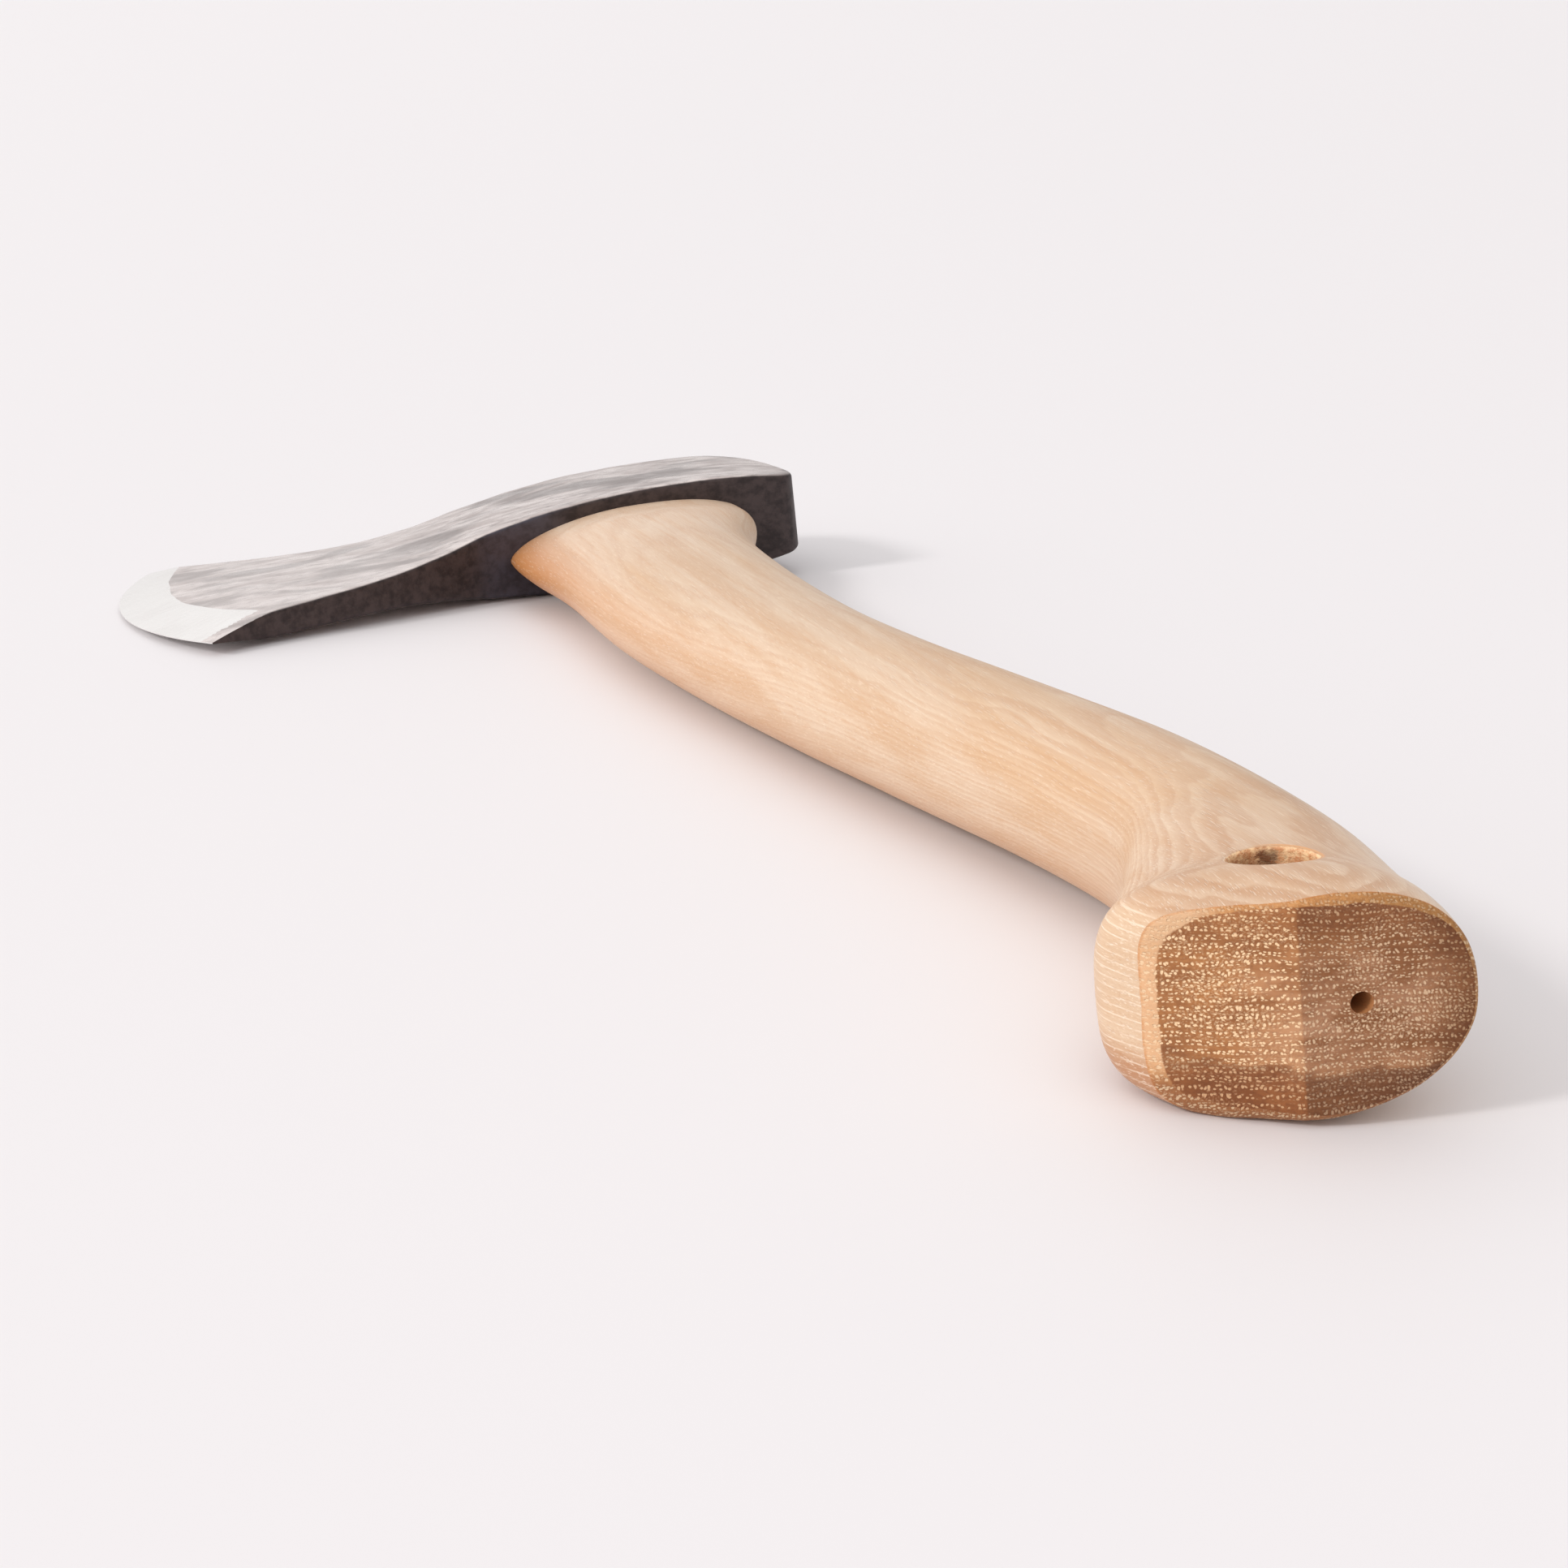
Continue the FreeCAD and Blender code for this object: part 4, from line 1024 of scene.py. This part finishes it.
    # end grain: rows of open pores along each ring
    jig = m.noise(m.scaled(1.1, 20, 1.1), detail=1.0)
    sway = m.noise(m.scaled(4.5, 40, 4.5), detail=2.0)
    row = m.math("ADD", ring, m.math("ADD", mul(m.math("SUBTRACT", jig, 0.5), 0.9), mul(m.math("SUBTRACT", sway, 0.5), 1.5)))
    grid = m.join(m.math("DIVIDE", m.x, 0.52), m.math("DIVIDE", row, 0.50), 0.0)
    d1 = m.cells(grid, randomness=0.78, dims="2D")
    grid2 = m.join(m.math("DIVIDE", m.x, 0.30), m.math("DIVIDE", row, 0.30), 0.0)
    d2 = m.cells(grid2, randomness=1.0, dims="2D")
    thin = m.noise(m.scaled(5.0, 40, 2.6), detail=3.0, rough=0.65)
    band = m.span(m.math("ADD", wave, mul(m.math("SUBTRACT", thin, 0.5), 1.2)), 0.10, 0.55)
    dot = mul(m.span(d1, 0.39, 0.24), band)
    dust = mul(m.span(d2, 0.45, 0.20), m.span(thin, 0.38, 0.66))
    e1 = m.noise(m.scaled(9, 30, 4), detail=3.0, rough=0.6)
    e2 = m.noise(m.scaled(0.7, 8, 0.45), detail=2.0)
    right = m.span(m.x, END_X - 0.15, END_X + 0.15)
    end = m.mix(m.span(e1, 0.3, 0.7), END_LIGHT, END_DARK)
    end = m.mix(mul(m.span(e2, 0.42, 0.7), 0.50), end, srgb(138, 86, 50))
    haze = mul(m.span(e1, 0.66, 0.34), m.span(m.math("ABSOLUTE", m.math("ADD", m.z, 0.5)), 10.0, 4.0),
               m.span(m.math("ABSOLUTE", m.math("SUBTRACT", m.x, 8.0)), 15.0, 6.0))
    end = m.mix(mul(haze, 0.42), end, srgb(226, 178, 142))
    end = m.mix(mul(dust, 0.30), end, DOT)
    end = m.mix(mul(dot, m.fmix(right, 0.96, 0.90)), end, DOT)
    # darker low down, patches high up, a darker rim to the back
    deep = m.math("SUBTRACT", m.z, mul(m.math("SUBTRACT", e1, 0.5), 6.0))
    fall = m.math("ADD", deep, mul(m.math("ADD", m.x, 14.0), 0.11))
    low_tint = m.span(fall, -4.9, -6.3)
    seam = mul(m.span(fall, -4.6, -5.1), m.span(fall, -6.4, -5.6))
    end = m.mix(low_tint, end, m.vec("MULTIPLY", end, (0.67, 0.56, 0.50)))
    end = m.mix(mul(seam, 0.45), end, srgb(128, 78, 46))
    crown = mul(m.span(deep, 7.5, 11.5), m.fmix(right, 0.55, 0.9))
    end = m.mix(crown, end, m.vec("MULTIPLY", end, (0.74, 0.64, 0.56)))
    back = m.span(m.math("ADD", m.x, mul(m.math("ABSOLUTE", m.z), 0.30)), 16.5, 23.5)
    end = m.mix(back, end, m.vec("MULTIPLY", end, (0.54, 0.44, 0.35)))
    # painted shade: the right end cut, which faces away from the key light, is darkened, more so low down
    end = m.mix(right, end, m.vec("MULTIPLY", end, (0.79, 0.77, 0.80)))
    end = m.mix(mul(right, low_tint), end, m.vec("MULTIPLY", end, (0.86, 0.92, 0.98)))
    # worked-off edge between the sides and the end cuts
    top = m.span(m.z, 6.0, 10.0)
    toe = mul(m.span(m.x, -6.0, -10.0), m.math("SUBTRACT", 1.0, top))
    rim = m.mix(m.span(e2, 0.3, 0.7), srgb(206, 146, 88), srgb(178, 120, 68))
    rim = m.mix(mul(m.span(m.x, 4.0, 16.0), 0.55), rim, srgb(150, 106, 58))
    rim = m.mix(mul(toe, m.span(m.z, -10.0, -5.0), 0.80), rim, srgb(230, 184, 142))
    rim = m.mix(mul(m.span(m.z, -7.0, -10.0), 0.8), rim, srgb(146, 92, 56))
    rim = m.mix(mul(top, m.span(m.x, -4.0, -9.0), 0.62), rim, srgb(232, 194, 156))
    rim = m.mix(mul(m.math("MAXIMUM", mul(dot, 0.8), mul(hairs, 0.7)), m.fmix(top, 0.8, 0.42)), rim, srgb(246, 216, 176))
    ragged = m.noise(m.scaled(1.6, 1.6, 1.6), detail=3.0, rough=0.6)
    edge = m.math("ADD", mark, mul(m.math("SUBTRACT", ragged, 0.5), 0.22))
    on_rim = m.span(edge, -0.05, 0.05)
    narrow = mul(top, m.span(m.x, -11.0, -7.0), m.span(m.x, 5.0, 1.0))
    on_end = m.span(m.math("ADD", edge, mul(narrow, 0.36)), 0.88, 0.97)
    colour = m.mix(on_rim, face, rim)
    colour = m.mix(on_end, colour, end)
    line = mul(m.span(edge, -0.12, 0.02), m.span(edge, 0.20, 0.08))
    colour = m.mix(mul(line, m.span(ragged, 0.3, 0.6), 0.45), colour, srgb(198, 126, 68))
    # cord hole and spur hole: cut across the grain, with painted shade deep inside the cord hole
    hx = m.math("SUBTRACT", m.x, CORD_X)
    hy = m.math("SUBTRACT", m.y, CORD_Y)
    hole_r = m.math("SQRT", m.math("ADD", mul(hx, hx), mul(hy, hy)))
    in_hole = m.span(hole_r, CORD_R + 0.50, CORD_R + 0.25)
    rough_cut = m.noise(m.scaled(1.2, 1.2, 0.8), detail=3.0, rough=0.7)
    bore = m.mix(m.span(rough_cut, 0.35, 0.65), srgb(255, 218, 170), srgb(218, 154, 106))
    bore = m.mix(mul(flecks, 0.6), bore, srgb(246, 214, 172))
    # painted shade: darker deeper inside the cord hole, most on its left wall, with a dark core low in the middle
    cord_hole_depth_shade = mul(m.span(m.math("SUBTRACT", m.z, mul(rough_cut, 2.2)), 12.6, 10.4), m.span(m.math("ABSOLUTE", m.z), 20.0, 12.0))
    bore = m.mix(mul(cord_hole_depth_shade, m.span(hx, 3.0, -1.5, 0.14, 0.62)), bore, srgb(134, 90, 62))
    cord_hole_core_shade = mul(m.span(m.math("ABSOLUTE", m.math("ADD", m.math("SUBTRACT", hx, 1.6), mul(m.math("SUBTRACT", rough_cut, 0.5), 4.0))), 1.8, 0.5),
              m.span(m.math("SUBTRACT", m.z, mul(rough_cut, 1.6)), 12.9, 11.8), m.span(hy, 0.0, 2.0))
    bore = m.mix(mul(cord_hole_core_shade, 0.80), bore, srgb(96, 60, 40))
    colour = m.mix(in_hole, colour, bore)
    lip = mul(m.span(hole_r, CORD_R + 1.0, CORD_R + 0.55), m.span(hx, -1.0, 4.0))
    colour = m.mix(mul(lip, m.math("SUBTRACT", 1.0, in_hole), 0.7), colour, srgb(226, 160, 98))
    px = m.math("SUBTRACT", m.x, PIN_X)
    pz = m.math("SUBTRACT", m.z, PIN_Z)
    pin_r = m.math("SQRT", m.math("ADD", mul(px, px), mul(pz, pz)))
    depth = m.math("ADD", mul(m.math("SUBTRACT", m.x, END_X), math.sin(HEEL_CUT)),
                   mul(m.math("SUBTRACT", m.y, END_Y), math.cos(HEEL_CUT)))
    in_pin = mul(m.span(pin_r, PIN_R + 0.18, PIN_R + 0.06), m.span(depth, 0.02, 0.12))
    colour = m.mix(in_pin, colour, srgb(186, 128, 82))
    rough = m.fmix(on_end, m.span(s2, 0.3, 0.8, 0.40, 0.52), 0.62)
    b = m.bump(s3, 0.05)
    b = m.bump(mul(flecks, -1.0, m.math("SUBTRACT", 1.0, on_end)), 0.035, b)
    b = m.bump(mul(dot, -1.0, on_rim), 0.05, b)
    b = m.bump(mul(rough_cut, in_hole), 0.25, b)
    return m.set(color=colour, rough=rough, normal=b, spec=0.35)


# ------------------------------------------------------------ forged steel
def forged_steel(name):
    m = Nodes(name)
    nx, ny, nz = m.normal()
    flat = m.math("ADD", m.span(nz, 0.55, 0.93), m.span(nz, -0.86, -0.97))
    c0 = m.noise(m.scaled(24, 12, 12), detail=2.0, rough=0.5, distort=0.6)
    c1 = m.noise(m.scaled(11, 4.2, 8), detail=4.0, rough=0.6, distort=0.5)
    c2 = m.noise(m.scaled(3.0, 1.4, 2.2), detail=3.0, rough=0.65)
    c3 = m.noise(m.scaled(0.5, 0.5, 0.5), detail=2.0, rough=0.7)
    # painted reflection: the cheeks' dark forge scale is painted light grey and mottled as the sheen of the bright
    # surroundings on it, lighter still towards the blade; the walls keep the dark scale
    cheek = m.mix(m.span(c1, 0.32, 0.68), CHEEK_SHEEN_LIGHT, CHEEK_SHEEN_MID)
    cheek = m.mix(m.math("MULTIPLY", m.span(c0, 0.49, 0.64), 0.58), cheek, CHEEK_SHEEN_DARK)
    cheek = m.mix(m.math("MULTIPLY", m.span(c2, 0.46, 0.76), 0.50), cheek, CHEEK_SHEEN_DARK)
    cheek = m.mix(m.math("MULTIPLY", m.span(c3, 0.55, 0.8), 0.20), cheek, srgb(240, 234, 231))
    blade = m.span(m.x, -34.0, -62.0)
    cheek = m.mix(m.math("MULTIPLY", blade, 0.26), cheek, srgb(246, 238, 235))
    wall = m.mix(m.span(c2, 0.35, 0.7), WALL_LIGHT, WALL_DARK)
    # the blue oxide where the blade runs out into the eye
    blue = m.math("MULTIPLY", m.span(m.math("ADD", m.x, m.math("MULTIPLY", c1, 9.0)), -36.0, -25.0), m.span(m.x, -12.0, -23.0))
    wall = m.mix(m.math("MULTIPLY", blue, m.span(c2, 0.70, 0.35, 0.40, 0.80)), wall, srgb(84, 83, 96))
    colour = m.mix(flat, wall, cheek)
    rough = m.fmix(flat, 0.5, m.span(c1, 0.3, 0.75, 0.24, 0.36))
    b = m.bump(c2, 0.05)
    b = m.bump(c3, 0.015, b)
    return m.set(color=colour, metal=m.fmix(flat, 0.40, 0.92), rough=rough, normal=b)


def ground_steel(name):
    m = Nodes(name)
    dx = m.math("SUBTRACT", m.x, EDGE_CX)
    dy = m.math("SUBTRACT", m.y, EDGE_CY)
    ang_ = m.math("ARCTAN2", dy, m.math("MULTIPLY", dx, -1.0))
    rad = m.math("SQRT", m.math("ADD", m.math("MULTIPLY", dx, dx), m.math("MULTIPLY", dy, dy)))
    lines = m.noise(m.join(m.math("MULTIPLY", ang_, 400.0), m.math("MULTIPLY", rad, 0.12), 0.0), detail=3.0, rough=0.6)
    cloud = m.noise(m.scaled(9, 9, 9), detail=2.0)
    colour = m.mix(m.span(lines, 0.3, 0.7), srgb(252, 250, 248), srgb(240, 237, 234))
    colour = m.mix(m.math("MULTIPLY", m.span(cloud, 0.45, 0.75), 0.2), colour, srgb(226, 221, 218))
    rough = m.span(lines, 0.3, 0.7, 0.20, 0.30)
    return m.set(color=colour, metal=1.0, rough=rough, normal=m.bump(lines, 0.004))


def wedge_wood(name):
    m = Nodes(name)
    s = m.noise(m.scaled(0.6, 14, 0.6), detail=3.0)
    r = m.math("FRACT", m.math("DIVIDE", m.math("ADD", m.math("ADD", m.x, m.math("MULTIPLY", s, 1.2)), 200.0), 1.6))
    c = m.mix(m.span(s, 0.3, 0.7), srgb(214, 168, 122), srgb(176, 124, 82))
    c = m.mix(m.math("MULTIPLY", m.span(r, 0.5, 1.0), 0.4), c, srgb(142, 94, 58))
    d = m.cells(m.scaled(0.5, 5, 0.5))
    c = m.mix(m.math("MULTIPLY", m.span(d, 0.3, 0.15), 0.5), c, srgb(120, 78, 48))
    return m.set(color=c, rough=m.span(s, 0.3, 0.7, 0.5, 0.65), normal=m.bump(s, 0.06), spec=0.3)


def wedge_steel(name):
    m = Nodes(name)
    a = m.noise(m.scaled(1.6, 1.6, 1.6), detail=3.0, rough=0.6)
    b = m.noise(m.scaled(0.4, 5, 0.4), detail=2.0)
    c = m.mix(m.span(a, 0.3, 0.7), srgb(186, 182, 180), srgb(128, 122, 118))
    c = m.mix(m.math("MULTIPLY", m.span(b, 0.5, 0.8), 0.3), c, srgb(92, 80, 72))
    return m.set(color=c, metal=0.9, rough=m.span(a, 0.3, 0.7, 0.3, 0.5), normal=m.bump(a, 0.12))


slots = np.zeros(len(head.data.polygons), np.int32)
head.data.polygons.foreach_get("material_index", slots)
for look in (forged_steel("forged_steel_look"), ground_steel("ground_bevel_look")):
    head.data.materials.append(look)
head.data.polygons.foreach_set("material_index", slots)
boolean_cut(head, [eye_cut])
clean_solid(head)
slots = np.zeros(len(head.data.polygons), np.int32)
head.data.polygons.foreach_get("material_index", slots)
print("head slots", len(head.data.materials), int((slots == 1).sum()), "of", len(slots))
finish_surface(head, [])
finish_surface(handle, [wood("ash_wood_look")])
for node, look in (("wood_wedge", wedge_wood("wedge_wood_look")), ("steel_wedge", wedge_steel("wedge_steel_look"))):
    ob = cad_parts[node]
    if not ob.material_slots:
        ob.data.materials.append(look)
    for s in ob.material_slots:
        s.material = look

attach(handle, "root")
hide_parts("handle")
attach(head, "root")
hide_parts("axe_head")

# ------------------------------------------------------------ stage and light
fl = bpy.data.meshes.new("floor")
S = 60.0
fl.from_pydata([(-S, -S, 0), (S, -S, 0), (S, S, 0), (-S, S, 0)], [], [(0, 1, 2, 3)])
floor = bpy.data.objects.new("floor", fl)
bpy.context.scene.collection.objects.link(floor)
fmat = bpy.data.materials.new("floor_look")
fmat.use_nodes = True
pb = fmat.node_tree.nodes["Principled BSDF"]
pb.inputs["Base Color"].default_value = (0.862, 0.835, 0.846, 1)
pb.inputs["Roughness"].default_value = 0.55
pb.inputs["Specular IOR Level"].default_value = 0.25
fl.materials.append(fmat)

world = bpy.data.worlds.new("studio")
bpy.context.scene.world = world
world.use_nodes = True
wt = world.node_tree
wt.nodes.clear()
wo = wt.nodes.new("ShaderNodeOutputWorld")
bg = wt.nodes.new("ShaderNodeBackground")
wt.links.new(bg.outputs[0], wo.inputs[0])
tc = wt.nodes.new("ShaderNodeTexCoord")
dot = wt.nodes.new("ShaderNodeVectorMath")
dot.operation = "DOT_PRODUCT"
wt.links.new(tc.outputs["Generated"], dot.inputs[0])
toward = Vector((-0.80, 0.20, 0.56)).normalized()
dot.inputs[1].default_value = toward
mr = wt.nodes.new("ShaderNodeMapRange")
mr.interpolation_type = "SMOOTHSTEP"
wt.links.new(dot.outputs["Value"], mr.inputs["Value"])
mr.inputs["From Min"].default_value = -0.80
mr.inputs["From Max"].default_value = 0.85
mr.inputs["To Min"].default_value = 0.36
mr.inputs["To Max"].default_value = 1.07
wt.links.new(mr.outputs["Result"], bg.inputs["Strength"])
bg.inputs["Color"].default_value = (1.0, 0.985, 0.985, 1)

sun = bpy.data.lights.new("soft_key", "SUN")
sun.energy = 1.08
sun.angle = math.radians(11)
sun.color = (1.0, 0.985, 0.975)
key = bpy.data.objects.new("soft_key", sun)
bpy.context.scene.collection.objects.link(key)
key_dir = Vector((-0.97, -0.24, 0.66)).normalized()
key.rotation_euler = key_dir.to_track_quat("Z", "Y").to_euler()

# ------------------------------------------------------------ camera
CAM_POS = Vector((-0.11231652, -0.49681284, 0.13620323))
CAM_RIGHT = Vector((0.96146834, -0.27468432, -0.01127647))
CAM_UP = Vector((0.08330588, 0.25201277, 0.96413158))
CAM_LOOK = Vector((0.26199001, 0.92792138, -0.26518512))
cam = bpy.data.cameras.new("camera")
cam.sensor_width = 36.0
cam.lens = 69.877
cam.clip_start = 0.01
cam.clip_end = 200.0
camera = bpy.data.objects.new("camera", cam)
bpy.context.scene.collection.objects.link(camera)
turn = Matrix((CAM_RIGHT, CAM_UP, -CAM_LOOK)).transposed().to_4x4()
camera.matrix_world = Matrix.Translation(CAM_POS) @ turn
bpy.context.scene.camera = camera
bpy.context.scene.view_settings.view_transform = "Standard"

# the turned meshes stay inside the CAD box to the last micron
for ob in (handle, head):
    me = ob.data
    co = np.empty(len(me.vertices) * 3)
    me.vertices.foreach_get("co", co)
    co = np.clip(co.reshape(-1, 3), np.array(cad_low) + 1e-7, np.array(cad_high) - 1e-7)
    me.vertices.foreach_set("co", co.ravel())
    me.update()
